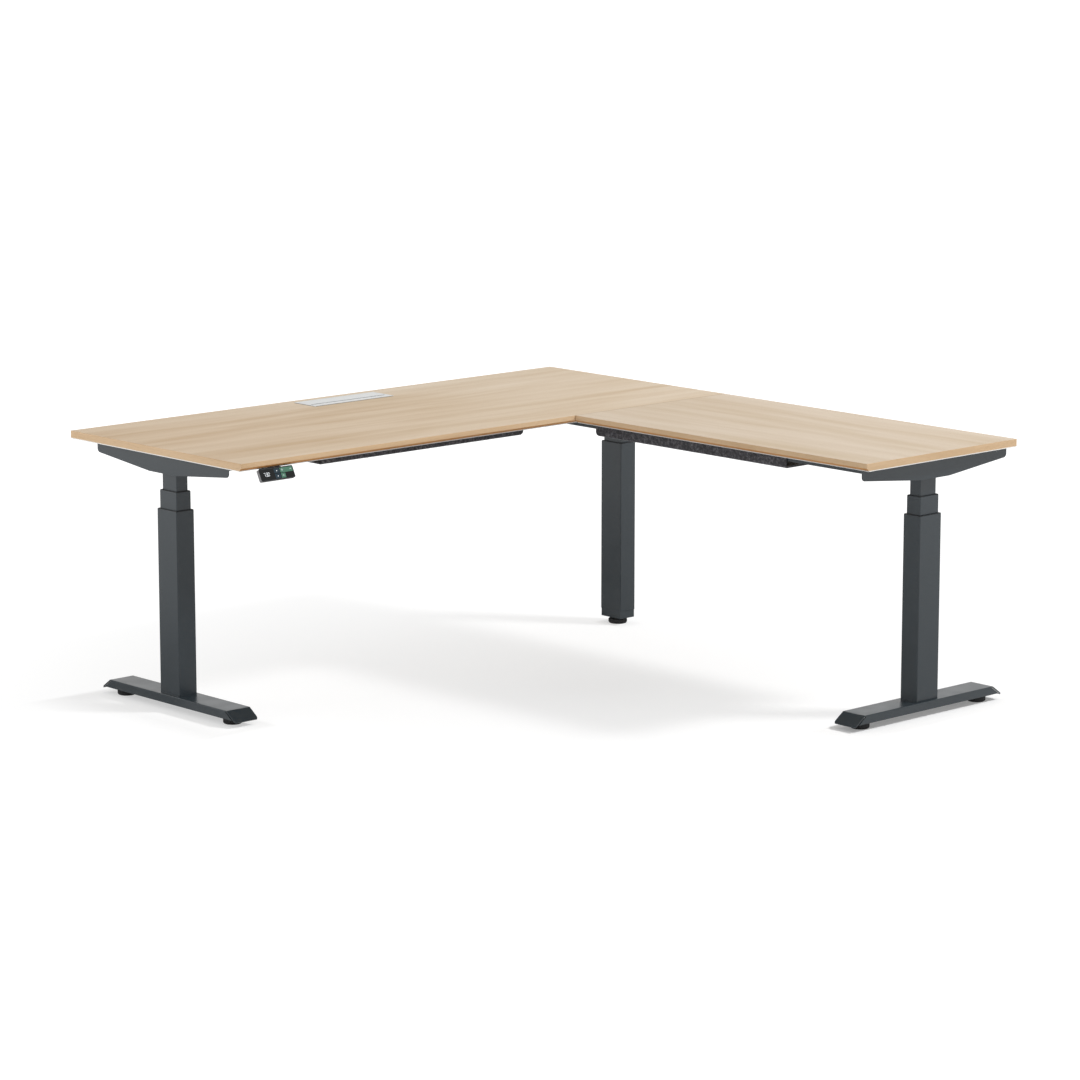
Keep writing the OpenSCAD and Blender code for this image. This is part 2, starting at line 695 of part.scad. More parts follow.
// Bolts that tie the return's rails to the main frame's front rail, axis along -Y
module junction_bolt_places() for (x = [inner_rail_x, return_outer_rail_x])
  translate([x, main_mid_y - rail_offset - rail_width / 2, rail_bolt_z]) rotate([90, 0, 0]) children();

module return_rails() color(steel) for (x = [inner_rail_x, return_outer_rail_x])
  translate([x, return_rail_y, 0]) rotate([0, 0, 90]) rail(return_rail_length);

// ---- Cable trays: one folded strip of felt, open at both ends ----

module tray_strip() rotate([90, 0, 90]) linear_extrude(tray_length) polygon([
  [0, under_z], [0, under_z - tray_depth], [tray_width, under_z - tray_depth],
  [tray_width, under_z - tray_felt], [tray_width + tray_flange, under_z - tray_felt],
  [tray_width + tray_flange, under_z], [tray_width - tray_felt, under_z],
  [tray_width - tray_felt, under_z - tray_depth + tray_felt],
  [tray_felt, under_z - tray_depth + tray_felt], [tray_felt, under_z]]);

// The far end, seen from the desk's open corner, has its lower corner cut off
module tray(far_x) color(felt) difference() {
  tray_strip();
  translate([far_x, tray_width + cut, under_z - tray_depth])
    rotate([90, 0, 0]) linear_extrude(tray_width + 2 * cut) polygon([
      [-tray_end_bevel, -cut], [-tray_end_bevel, 0], [0, tray_end_bevel],
      [tray_end_bevel, 0], [tray_end_bevel, -cut]]);
  tray_screw_places() post(wood_screw_d + 2 * fit_gap, under_z - tray_felt - cut, under_z + cut);
}

// ---- Control box ----

inlet_w = 24;
inlet_h = 17;
inlet_depth = 14;
inlet_pin_d = 2.4;
inlet_pin_inset = 3;
box_mid_z = under_z - box_height / 2;

module control_box() color(black) translate([box_x, box_y, 0]) difference() {
  union() {
    slab(box_length, box_width, under_z - box_height, under_z);
    slab(box_length + 2 * box_ear, 2 * box_ear, under_z - bracket_sheet, under_z);
  }
  difference() {
    translate([box_length / 4 - inlet_w / 2, box_width / 2 - inlet_depth, box_mid_z - inlet_h / 2])
      cube([inlet_w, inlet_depth + cut, inlet_h]);
    for (side = [-1, 1]) translate([box_length / 4 + side * inlet_w / 6, box_width / 2, box_mid_z])
      rotate([90, 0, 0]) post(inlet_pin_d, inlet_pin_inset, inlet_depth + cut);
  }
  for (side = [-1, 1]) translate([side * (box_length / 2 + box_ear / 2), 0, 0])
    post(wood_screw_d + 2 * fit_gap, under_z - bracket_sheet - cut, under_z + cut);
}

// ---- Handset ----

// Local frame of the leaning face: origin at its centre, X to the right, Y up the face, Z out of it
face_drop = face_height * cos(face_lean);
face_run = face_height * sin(face_lean);
face_top_y = seam_y + 2;
module on_face() translate([handset_x, face_top_y - face_run / 2, under_z - face_drop / 2])
  rotate([90 - face_lean, 0, 0]) children();

panel_edge = 1.5;
key_web = 1;                              // strip of the panel between neighbouring keys
display_w = 0.43 * handset_width;
drive_key_w = 0.17 * handset_width;
low_preset_w = 0.13 * handset_width;
drive_left = display_w - handset_width / 2;
preset_left = drive_left + drive_key_w + key_web;
preset_right = handset_width / 2 - panel_edge - key_web;
key_h = face_height / 2 - panel_edge - 1.5 * key_web;

// Key outlines on the face: left, bottom, width, height
raise_key_box = [drive_left, key_web / 2, drive_key_w, key_h];
lower_key_box = [drive_left, -key_web / 2 - key_h, drive_key_w, key_h];
stand_key_box = [preset_left, key_web / 2, preset_right - preset_left, key_h];
sit_key_box = [preset_left, -key_web / 2 - key_h, low_preset_w, key_h];
KEY_BOXES = [raise_key_box, lower_key_box, stand_key_box, sit_key_box];
key_stem = 3;

module key_block(box, gap, z0, z1) translate([box[0] + gap, box[1] + gap, z0])
  cube([box[2] - 2 * gap, box[3] - 2 * gap, z1 - z0]);

module key(box) color(box == stand_key_box || box == sit_key_box ? [0.35, 0.5, 0.42] : [0.16, 0.22, 0.26])
  on_face() key_block(box, key_gap, -face_panel - key_stem + key_travel + key_gap, 0);

// Place of a point of the leaning frame, as y and z: v up the face, w out of it
function face_point(v, w) = [
  face_top_y - face_run / 2 + v * sin(face_lean) - w * cos(face_lean),
  under_z - face_drop / 2 + v * cos(face_lean) + w * sin(face_lean)];
mount_lap = 2;                            // how far the foot runs into the case

module panel_plate(z0, z1) translate([0, 0, z0]) linear_extrude(z1 - z0)
  round_rect(handset_width - 2 * panel_edge, face_height - 2 * panel_edge, handset_corner - panel_edge);

// Flat case that leans under the board's edge, on a foot that is screwed to the board
module handset_shell() color(black) difference() {
  union() {
    on_face() translate([0, 0, -handset_case]) linear_extrude(handset_case)
      round_rect(handset_width, face_height, handset_corner);
    translate([handset_x, 0, 0]) across_x(mount_width) polygon([
      [face_top_y + mount_lap, under_z],
      face_point(face_height / 2 - mount_lap, -handset_case / 2),
      face_point(-face_height / 4, mount_lap - handset_case),
      [seam_y + mount_depth, under_z - mount_back], [seam_y + mount_depth, under_z]]);
  }
  on_face() panel_plate(-face_panel, cut);
  on_face() for (box = KEY_BOXES) key_block(box, 0, -face_panel - key_stem, 0);
  handset_screw_places() {
    post(wood_screw_d + 2 * fit_gap, under_z - face_drop, under_z + cut);
    post(screwdriver_d, under_z - face_drop, under_z - bracket_sheet);
  }
}

module handset_panel() color(black) difference() {
  on_face() panel_plate(-face_panel, 0);
  on_face() for (box = KEY_BOXES) key_block(box, 0, -face_panel - cut, cut);
}

// ---- Cable flap ----

lid_gap = 0.4;
lid_length = flap_length - 2 * flap_end_border - 2 * lid_gap;
seat_half = lid_length / 2 + lid_gap;
window_back_y = flap_y + flap_depth / 2 - flap_border;
barrel_wall = 0.5;
hinge_r = hinge_pin_d / 2 + barrel_wall;
hinge_y = window_back_y - lid_gap - hinge_r;
hinge_z = surface_height + flap_rim - hinge_r;
lid_front_y = window_back_y - lid_gap - lid_depth;
slot_front_y = lid_front_y - slot_width;
pin_reach = 2.5;
ledge = 4;
strip_front_y = flap_y - collar_depth / 2 + collar_wall;

module at_hinge() translate([flap_x, hinge_y, hinge_z]) rotate([0, 90, 0]) children();

module flap_frame() color(white) difference() {
  union() {
    translate([flap_x, flap_y, 0]) {
      slab(flap_length, flap_depth, surface_height, surface_height + flap_rim);
      slab(collar_length, collar_depth, under_z, surface_height);
    }
  }
  // the cable port under the lid, with ledges left at both ends
  span([flap_x - lid_length / 2 + ledge, slot_front_y, under_z - cut],
       [flap_x + lid_length / 2 - ledge, window_back_y - collar_wall, surface_height + flap_rim + cut]);
  // the lid's seat
  span([flap_x - seat_half, slot_front_y, surface_height + flap_rim - lid_thickness],
       [flap_x + seat_half, window_back_y, surface_height + flap_rim + cut]);
  // room for the hinge barrel
  span([flap_x - seat_half, window_back_y - 2 * hinge_r - 2 * lid_gap, hinge_z - hinge_r - lid_gap],
       [flap_x + seat_half, window_back_y, hinge_z + hinge_r + cut]);
  at_hinge() post(hinge_pin_d + 2 * fit_gap, -seat_half - pin_reach, seat_half + pin_reach);
  // pocket that lightens the fixed strip in front of the slot, from below
  span([flap_x - lid_length / 2 + ledge, strip_front_y, under_z - cut],
       [flap_x + lid_length / 2 - ledge, slot_front_y - collar_wall, surface_height - collar_wall]);
}

module flap_lid() color(white) {
  translate([flap_x - lid_length / 2, lid_front_y, surface_height + flap_rim - lid_thickness])
    cube([lid_length, hinge_y - lid_front_y, lid_thickness]);
  at_hinge() post(2 * hinge_r, -lid_length / 2, lid_length / 2);
  at_hinge() post(hinge_pin_d, -lid_length / 2 - pin_reach, lid_length / 2 + pin_reach);
}

// ---- Fasteners under the boards ----

wood_head_d = 8;
wood_head_h = 2.4;
frame_head_d = 10;

// Screw that clamps a flange of the given thickness to the board
module wood_screw(flange) {
  post(wood_head_d, under_z - flange - wood_head_h, under_z - flange);
  post(wood_screw_d, under_z - flange - wood_head_h / 2, under_z + wood_screw_depth);
}

thread_end = 2;                           // how far a bolt or stud stands out

// Bolt whose head is inside the main rail and whose shank passes the next rail's end; the face is z = 0
module frame_bolt() {
  post(frame_head_d, -rail_sheet - bolt_head_h, -rail_sheet);
  post(frame_bolt_d, -rail_sheet - bolt_head_h / 2, rail_end + thread_end);
}

// Stud that stands on the bracket's outer plate and passes the rail's end, with its nut
module rail_stud() {
  post(frame_bolt_d, -stud_root, rail_end + bolt_head_h + thread_end);
  post(frame_head_d, rail_end, rail_end + bolt_head_h);
}

module frame_screws() color(bright) {
  wood_screw_places_brackets() wood_screw(bracket_sheet);
  wood_screw_places_trays() wood_screw(tray_felt);
  box_screw_places() wood_screw(bracket_sheet);
  handset_screw_places() wood_screw(bracket_sheet);
  for (i = [LEFT, CORNER, RIGHT]) at_leg(i) {
    rail_bolt_places(i) rail_stud();
    at_corners(head_bolt_x, head_bolt_y) {
      post(head_bolt_d, bracket_z - end_plate, gearbox_z + gearbox_high + cut);
      post(head_bolt_head_d, gearbox_z + gearbox_high, gearbox_z + gearbox_high + bolt_head_h);
    }
  }
  junction_bolt_places() frame_bolt();
}

// ---- Every node, drawn alone or all together ----

for (i = [LEFT, CORNER, RIGHT]) {
  at_leg(i) foot(i);
  at_leg(i) foot_bolts();
  at_leg(i) outer_tube();
  at_leg(i) outer_bush();
  at_leg(i) base_rod();
  at_leg(i) middle_tube();
  at_leg(i) middle_bush();
  at_leg(i) lift_screw();
  at_leg(i) inner_tube();
  at_leg(i) lift_nut();
  at_leg(i) drive_shaft();
  at_leg(i) motor();
  at_leg(i) bracket(i);
}
for (k = [0 : len(GLIDES) - 1])
  translate(glide_places[k]) glide(GLIDES[k] == "corner_glide" ? corner_glide_d : glide_d);
main_top();
return_top();
main_rails();
return_rails();
at_main_tray() tray(tray_length);  // main_tray
at_return_tray() tray(0);  // return_tray
control_box();
handset_shell();
handset_panel();
key(raise_key_box);  // raise_key
key(lower_key_box);  // lower_key
key(stand_key_box);  // stand_key
key(sit_key_box);  // sit_key
flap_frame();
flap_lid();
frame_screws();
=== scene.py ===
import math
import bmesh
import bpy
from mathutils import Euler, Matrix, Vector, noise


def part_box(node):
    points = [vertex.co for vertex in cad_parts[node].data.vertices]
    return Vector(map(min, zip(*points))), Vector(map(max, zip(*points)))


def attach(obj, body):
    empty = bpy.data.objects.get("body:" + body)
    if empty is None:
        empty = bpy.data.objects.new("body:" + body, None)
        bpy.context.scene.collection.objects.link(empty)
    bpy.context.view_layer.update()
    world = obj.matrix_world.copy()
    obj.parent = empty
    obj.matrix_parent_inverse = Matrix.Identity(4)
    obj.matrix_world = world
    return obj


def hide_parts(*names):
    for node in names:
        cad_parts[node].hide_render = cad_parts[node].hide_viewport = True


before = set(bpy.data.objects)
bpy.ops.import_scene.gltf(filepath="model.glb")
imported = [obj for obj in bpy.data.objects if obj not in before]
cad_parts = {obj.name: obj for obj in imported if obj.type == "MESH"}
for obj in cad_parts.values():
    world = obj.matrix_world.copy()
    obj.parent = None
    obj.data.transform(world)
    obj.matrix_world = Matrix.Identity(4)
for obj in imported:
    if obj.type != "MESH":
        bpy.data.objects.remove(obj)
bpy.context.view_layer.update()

# ---- Camera ----
# A long lens on a tripod, in front of the desk's left side and a little above it.

camera = bpy.data.objects.new("camera", bpy.data.cameras.new("camera"))
camera.location = (-7.1964, -7.7695, 2.4559)
camera_turn, camera_tilt = math.radians(47.2033), math.radians(10.7934)
camera.rotation_euler = Euler((math.pi / 2 - camera_tilt, 0, camera_turn - math.pi / 2))
camera.data.lens = 130.9
camera.data.sensor_width = 36
camera.data.clip_end = 200
bpy.context.scene.collection.objects.link(camera)
bpy.context.scene.camera = camera
bpy.context.scene.view_settings.view_transform = "Standard"

# ---- Studio ----
# A white floor without an end, a soft lamp high on the right, two weak ones low on the left,
# and a white room around them.
# The camera and glossy surfaces see the walls white, and the floor keeps the desk's shadow,
# which is darkest close to the feet. From below the floor isn't there.


class Wire:
    """A socket in a node tree. Sums on wires add the Math nodes that they stand for."""

    def __init__(self, tree, socket=None):
        self.tree, self.socket = tree, socket

    def node(self, kind, settings=None, sockets=None, output=0):
        """Adds a node: its settings first, then the values or the links of its sockets."""
        made = self.tree.nodes.new(kind)
        for key, value in (settings or {}).items():
            if key == "stops":
                stops = made.color_ramp.elements
                stops.remove(stops[1])
                for position, colour in value:
                    stop = stops[0] if position == value[0][0] else stops.new(position)
                    stop.position, stop.color = position, colour
            else:
                setattr(made, key, value)
        for key, value in (sockets or {}).items():
            if isinstance(value, Wire):
                self.tree.links.new(value.socket, made.inputs[key])
            else:
                made.inputs[key].default_value = value
        return Wire(self.tree, made.outputs[output] if len(made.outputs) else None)

    def math(self, operation, *terms):
        return self.node("ShaderNodeMath", {"operation": operation}, dict(enumerate(terms)))

    def __add__(self, other):
        return self.math("ADD", self, other)

    def __sub__(self, other):
        return self.math("SUBTRACT", self, other)

    def __rsub__(self, other):
        return self.math("SUBTRACT", other, self)

    def __mul__(self, other):
        return self.math("MULTIPLY", self, other)

    __radd__, __rmul__ = __add__, __mul__

    def mixed(self, low, high):
        """From colour low to colour high as this wire goes from 0 to 1"""
        return self.node("ShaderNodeMix", {"data_type": "RGBA"}, {0: self, 6: low, 7: high}, 2)

    def between(self, low, high, to_low=0.0, to_high=1.0):
        """This wire's range low to high, stretched to another range and held there"""
        return self.node("ShaderNodeMapRange", {}, {0: self, 1: low, 2: high, 3: to_low, 4: to_high})


def empty_tree(tree):
    tree.nodes.clear()
    return Wire(tree)


def seen_by(wire, *rays):
    """1 for the named kinds of rays"""
    seen = [wire.node("ShaderNodeLightPath", output=f"Is {ray} Ray") for ray in rays]
    return wire.math("MINIMUM", sum(seen[1:], seen[0]), 1)


white = (1, 1, 1, 1)
room_level = 0.50
# Gloss sees a white wall where its ray rises less steeply than wall_top, and none above ceiling.
wall_top, ceiling = 0.50, 0.70
room = bpy.data.worlds.new("room")
bpy.context.scene.world = room
room.use_nodes = True
wire = empty_tree(room.node_tree)
ray = wire.node("ShaderNodeTexCoord", output="Generated")
wall = ray.node("ShaderNodeSeparateXYZ", {}, {0: ray}, 2).between(wall_top, ceiling, 1, 0)
shown = seen_by(wire, "Camera", "Transmission") + seen_by(wire, "Glossy") * wall
strength = shown.between(0, 1, room_level, 1)
sky = wire.node("ShaderNodeBackground", {}, {"Color": white, "Strength": strength})
wire.node("ShaderNodeOutputWorld", {}, {"Surface": sky})

floor_size = 60
floor_white, foot_white = (0.74, 0.74, 0.74, 1), (0.95, 0.95, 0.95, 1)
# The camera sees a share of plain white over the shaded floor. Each foot has its least share, the
# part of its fade that keeps it, and how far the fade runs out to -X, +X and to -Y, +Y.
foot_shadows = {"left": (0.40, 0.0, ((0.50, 0.10), (0.15, 0.08))),
                "corner": (0.45, 0.0, ((0.10, 0.06), (0.10, 0.06))),
                "right": (0.18, 0.35, ((0.17, 0.08), (0.17, 0.05)))}
shadow_core = (0.18, -0.03, 0)
floor_near, floor_far, near_share = 0.05, 4.1, 0.506
foot_share_low = 0.42
mirror_near, mirror_far, mirror_share, mirror_full = 2.0, 5.0, 0.05, 0.8
floor_glow = 1.24
floor_mesh = bpy.data.meshes.new("studio_floor")
corners = ((-1, -1), (1, -1), (1, 1), (-1, 1))
floor_mesh.from_pydata([(x * floor_size, y * floor_size, 0) for x, y in corners], [], [(0, 1, 2, 3)])
studio_floor = bpy.data.objects.new("studio_floor", floor_mesh)
bpy.context.scene.collection.objects.link(studio_floor)
floor_paint = bpy.data.materials.new("floor_paint")
floor_paint.use_nodes = True
wire = empty_tree(floor_paint.node_tree)
spot = wire.node("ShaderNodeTexCoord", output="Object")
away = wire.node("ShaderNodeVectorMath", {"operation": "DISTANCE"}, {0: spot, 1: shadow_core}, 1)
share = away.between(floor_near, floor_far, near_share, 1.0)
for leg, (foot_share, hold, fades) in foot_shadows.items():
    low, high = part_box(leg + "_foot")
    outside = [(spot.node("ShaderNodeSeparateXYZ", {}, {0: spot}, axis) - edge)
               * (side / fades[axis][side > 0])
               for axis in range(2) for side, edge in ((-1, low[axis]), (1, high[axis]))]
    beside, before = (spot.math("MAXIMUM", *pair) for pair in (outside[:2], outside[2:]))
    clear = spot.math("MAXIMUM", beside, before)
    share = spot.math("MINIMUM", share, clear.between(hold, 1.0, foot_share, 1.0))
bright = (seen_by(wire, "Camera", "Transmission") * share
          + seen_by(wire, "Glossy") * away.between(mirror_near, mirror_far, mirror_share, mirror_full))
floor_colour = share.between(foot_share_low, near_share).mixed(foot_white, floor_white)
floor_look = wire.node("ShaderNodeMixShader", {}, {
    0: bright,
    1: wire.node("ShaderNodeBsdfDiffuse", {}, {"Color": floor_colour}),
    2: wire.node("ShaderNodeEmission", {}, {"Color": white, "Strength": floor_glow})})
from_below = wire.node("ShaderNodeNewGeometry", output="Backfacing")
floor_look = wire.node("ShaderNodeMixShader", {}, {
    0: from_below, 1: floor_look, 2: wire.node("ShaderNodeBsdfTransparent")})
wire.node("ShaderNodeOutputMaterial", {}, {"Surface": floor_look})
floor_mesh.materials.append(floor_paint)

# Each lamp's place, aim, width, power in watts and whether gloss shows it
for name, stand, aim, size, energy, glossy in (
        ("key_lamp", (4.6, -4.6, 6.9), (0, 0, 0.5), 1.4, 560, False),
        ("fill_lamp", (-2.6, 2.2, 1.3), (-0.9, 0.5, 0.6), 1.6, 16, True),
        ("side_lamp", (-8.0, -0.4, 0.7), (0, -0.4, 0.7), 2.0, 115, False)):
    lamp = bpy.data.objects.new(name, bpy.data.lights.new(name, "AREA"))
    lamp.location = stand
    lamp.rotation_euler = (lamp.location - Vector(aim)).to_track_quat("Z", "Y").to_euler()
    lamp.data.size, lamp.data.energy = size, energy
    lamp.visible_glossy = glossy
    bpy.context.scene.collection.objects.link(lamp)

# ---- Lifting columns ----
# Three drawn steel tubes slide inside each other, their long sides in line with the foot.
# They are powder coated, and a dark guide bush is pressed into each of the two mouths.


def finish(name, look):
    """A material whose surface sockets come from look(place), place being the Object coordinates"""
    material = bpy.data.materials.new(name)
    material.use_nodes = True
    wire = empty_tree(material.node_tree)
    place = wire.node("ShaderNodeTexCoord", output="Object")
    surface = wire.node("ShaderNodeBsdfPrincipled", {}, look(place))
    wire.node("ShaderNodeOutputMaterial", {}, {"Surface": surface})
    return material


def grain_noise(place, scale, detail=2, rough=0.5):
    return place.node("ShaderNodeTexNoise", {}, {
        "Vector": place, "Scale": scale, "Detail": detail, "Roughness": rough})


def bumped(height, strength, depth):
    return height.node("ShaderNodeBump", {}, {"Strength": strength, "Distance": depth, "Height": height})


def clouded(scale, tones, rough, grain=None, specular=0.5):
    """A look: a soft cloud between two tones, and two roughnesses unless one is given. A fine grain
    has its scale, strength and depth, then its noise's detail and roughness if they aren't plain."""

    def look(place):
        cloud = grain_noise(place, scale)
        surface = {"Base Color": cloud.mixed(*[(*tone, 1) for tone in tones]),
                   "Roughness": rough, "Specular IOR Level": specular}
        if isinstance(rough, tuple):
            surface["Roughness"] = cloud.between(0.3, 0.7, *rough)
        if grain:
            grain_scale, strength, depth, *kind = grain
            surface["Normal"] = bumped(grain_noise(place, grain_scale, *kind), strength, depth)
        return surface

    return look


frame_paint = finish("frame_paint", clouded(
    18, ((0.013, 0.021, 0.027), (0.016, 0.025, 0.032)), (0.28, 0.34), (900, 0.12, 0.0002, 3, 0.6), 0.62))
black_plastic = finish("black_plastic", clouded(
    30, ((0.010, 0.010, 0.011), (0.016, 0.016, 0.017)), (0.5, 0.62), (1600, 0.15, 0.0002, 2, 0.7)))


def merged(node):
    """A copy of a CAD node's mesh with its points merged and its flat faces joined"""
    work = bmesh.new()
    work.from_mesh(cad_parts[node].data)
    bmesh.ops.remove_doubles(work, verts=work.verts, dist=1e-6)
    bmesh.ops.dissolve_limit(work, angle_limit=math.radians(0.5), verts=work.verts, edges=work.edges)
    return work


def eased(work, chosen, radius, steps=2):
    """Rounds the chosen outward edges of a mesh"""
    edges = [e for e in work.edges if e.is_manifold and e.is_convex
             and e.calc_face_angle() > math.radians(25) and chosen(e)]
    bmesh.ops.bevel(work, geom=edges, offset=radius, segments=steps, profile=0.5, affect="EDGES",
                    clamp_overlap=True, offset_type="OFFSET")
    return work


def middle(edge):
    return (edge.verts[0].co + edge.verts[1].co) / 2


def on(value, *planes):
    """Whether a coordinate lies in one of some planes"""
    return any(abs(value - plane) < 2e-5 for plane in planes)


def runs_along(edge, axis):
    """Whether an edge is parallel to an axis"""
    along = (edge.verts[1].co - edge.verts[0].co).normalized()
    return abs(along[axis]) > 0.99


def piece(name, work, finishes, body, nodes=(), crease=32):
    """Turns mesh work into a finished piece that rides on a body and stands for CAD nodes"""
    rough_mesh = bpy.data.meshes.new(name)
    work.to_mesh(rough_mesh)
    work.free()
    made = bpy.data.objects.new(name, rough_mesh)
    bpy.context.scene.collection.objects.link(made)
    for material in finishes if isinstance(finishes, list) else [finishes]:
        rough_mesh.materials.append(material)
    rough_mesh.polygons.foreach_set("use_smooth", [True] * len(rough_mesh.polygons))
    rough_mesh.set_sharp_from_angle(angle=math.radians(crease))
    weighting = made.modifiers.new("even_shading", "WEIGHTED_NORMAL")
    weighting.keep_sharp = True
    evaluated = made.evaluated_get(bpy.context.evaluated_depsgraph_get())
    made.data = bpy.data.meshes.new_from_object(evaluated)
    made.modifiers.clear()
    made.data.name = name
    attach(made, body)
    if nodes:
        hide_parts(*nodes)
    return made


rim_ease = 0.0004
for leg in ("left", "corner", "right"):
    for tube, body in (("outer", leg + "_base"), ("middle", leg + "_middle"), ("inner", "desktop")):
        node = f"{leg}_{tube}_tube"
        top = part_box(node)[1].z
        work = eased(merged(node), lambda e: on(middle(e).z, top), rim_ease)
        piece(f"{leg}_{tube}_column", work, frame_paint, body, [node])
        if tube != "inner":
            bush = f"{leg}_{tube}_bush"
            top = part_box(bush)[1].z
            work = eased(merged(bush), lambda e: on(middle(e).z, top), rim_ease)
            piece(f"{leg}_{tube}_guide", work, black_plastic, body, [bush])

# ---- Drive parts inside the columns ----
# Rods, screws and shafts are rolled and zinc plated, the nuts are moulded acetal,
# and the motors are black. All of them stay inside the tubes and the brackets.


def plated(place):
    cloud = grain_noise(place, 60)
    stretched = place.node("ShaderNodeMapping", {}, {"Vector": place, "Scale": (900, 900, 60)})
    drawn = grain_noise(stretched, 1)
    return {"Base Color": cloud.mixed((0.52, 0.53, 0.55, 1), (0.66, 0.67, 0.68, 1)),
            "Metallic": 1.0,
            "Roughness": drawn.between(0.3, 0.7, 0.26, 0.42),
            "Normal": bumped(drawn, 0.1, 0.0001)}


def threaded(place):
    looks = plated(place)
    wave = place.node("ShaderNodeTexWave", {"wave_type": "BANDS", "bands_direction": "Z"}, {
        "Vector": place, "Scale": 40.0, "Distortion": 0.0})
    looks["Normal"] = bumped(wave, 0.6, 0.0006)
    return looks


zinc = finish("zinc", plated)
screw_steel = finish("screw_steel", threaded)
nut_plastic = finish("nut_plastic", clouded(
    45, ((0.60, 0.59, 0.55), (0.70, 0.69, 0.65)), (0.35, 0.5)))
motor_black = finish("motor_black", clouded(
    80, ((0.012, 0.012, 0.013), (0.022, 0.022, 0.024)), (0.3, 0.45), (1200, 0.1, 0.0002)))
for leg in ("left", "corner", "right"):
    for part, material in (("base_rod", screw_steel), ("lift_screw", screw_steel),
                           ("drive_shaft", zinc), ("lift_nut", nut_plastic), ("motor", motor_black)):
        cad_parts[f"{leg}_{part}"].data.materials[0] = material

# ---- Feet ----
# Each T foot is one folded sheet with sloped ends, the corner foot a small folded box.
# Both are powder coated like the columns and are bolted to the column's base plate from below.

fold_radius, cut_radius, shortest, below_fold = 0.002, 0.0005, 0.015, 0.01
for leg in ("left", "corner", "right"):
    node = leg + "_foot"
    low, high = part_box(node)
    work = merged(node)
    # The bends beside the flat top and at the sloped ends, then the sheet's outer cut edges below
    eased(work, lambda e: e.calc_length() > shortest and on(middle(e).z, high.z), fold_radius, 3)
    eased(work, lambda e: e.calc_length() > shortest and middle(e).z < high.z - below_fold
          and (on(middle(e).x, low.x, high.x) or on(middle(e).y, low.y, high.y)), cut_radius)
    piece(leg + "_foot_sheet", work, frame_paint, leg + "_base", [node])

# ---- Levelling glides ----
# A turned black pad on a threaded stud, with a ribbed rim to hold while it is screwed.
# The stud runs in a threaded insert in the foot.


def turned(profile, centre, steps=64):
    """A closed solid turned about an upright axis, from (radius, height) points"""
    work = bmesh.new()
    rings = []
    for radius, height in profile:
        if radius < 1e-7:
            rings.append([work.verts.new((centre[0], centre[1], height))])
            continue
        rings.append([work.verts.new((centre[0] + radius * math.cos(2 * math.pi * k / steps),
                                      centre[1] + radius * math.sin(2 * math.pi * k / steps), height))
                      for k in range(steps)])
    for below, above in zip(rings, rings[1:]):
        for k in range(steps):
            corners = [below[k % len(below)], below[(k + 1) % len(below)],
                       above[(k + 1) % len(above)], above[k % len(above)]]
            work.faces.new([v for i, v in enumerate(corners) if v not in corners[:i]])
    bmesh.ops.recalc_face_normals(work, faces=work.faces)
    return work


glide_plastic = finish("glide_plastic", clouded(
    700, ((0.008, 0.008, 0.009), (0.013, 0.013, 0.014)), (0.55, 0.7), (700, 0.2, 0.0002)))


def grower(name, sizes):
    """A Geometry Nodes tree with a geometry input and named sizes, and the wires of its inputs"""
    tree = bpy.data.node_groups.new(name, "GeometryNodeTree")
    tree.interface.new_socket("Seats", in_out="INPUT", socket_type="NodeSocketGeometry")
    for label, kind in sizes.items():
        tree.interface.new_socket(label, in_out="INPUT", socket_type="NodeSocket" + kind)
    tree.interface.new_socket("Made", in_out="OUTPUT", socket_type="NodeSocketGeometry")
    entry = tree.nodes.new("NodeGroupInput")
    return tree, {s.name: Wire(tree, s) for s in entry.outputs if s.name}


def cylinder(wire, radius, depth, sides):
    return wire.node("GeometryNodeMeshCylinder", {}, {
        "Vertices": sides, "Radius": radius, "Depth": depth})


def repeated(points, shape):
    """One copy of a shape on each point"""
    return points.node("GeometryNodeInstanceOnPoints", {}, {"Points": points, "Instance": shape})


def close_grower(tree, geometry, material):
    """Ends a tree: real faces instead of instances, with their material"""
    real = geometry.node("GeometryNodeRealizeInstances", {}, {"Geometry": geometry})
    coloured = geometry.node("GeometryNodeSetMaterial", {}, {"Geometry": real, "Material": material})
    geometry.node("NodeGroupOutput", {}, {0: coloured})


def grown(tree, seats, sizes, aims=None):
    """Runs a tree on seats (points) and returns the plain mesh as mesh work"""
    points = bpy.data.meshes.new("seats")
    points.from_pydata([tuple(p) for p in seats], [], [])
    if aims:
        attribute = points.attributes.new("aim", "FLOAT_VECTOR", "POINT")
        attribute.data.foreach_set("vector", [c for aim in aims for c in aim])
    holder = bpy.data.objects.new("holder", points)
    bpy.context.scene.collection.objects.link(holder)
    run = holder.modifiers.new("grow", "NODES")
    run.node_group = tree
    for item in tree.interface.items_tree:
        if item.in_out == "INPUT" and item.name in sizes:
            run[item.identifier] = sizes[item.name]
    made = bpy.data.meshes.new_from_object(holder.evaluated_get(bpy.context.evaluated_depsgraph_get()))
    work = bmesh.new()
    work.from_mesh(made)
    bpy.data.objects.remove(holder)
    bpy.data.meshes.remove(made)
    return work


rib_tree, rib = grower("grip_ribs", {"Ring Radius": "Float", "Rib Radius": "Float",
                                     "Rib Height": "Float", "Ribs": "Int"})
start = rib["Seats"]
ring = start.node("GeometryNodeMeshCircle", {}, {"Vertices": rib["Ribs"], "Radius": rib["Ring Radius"]})
one_rib = cylinder(start, rib["Rib Radius"], rib["Rib Height"], 8)
close_grower(rib_tree, repeated(start, repeated(ring, one_rib)), glide_plastic)

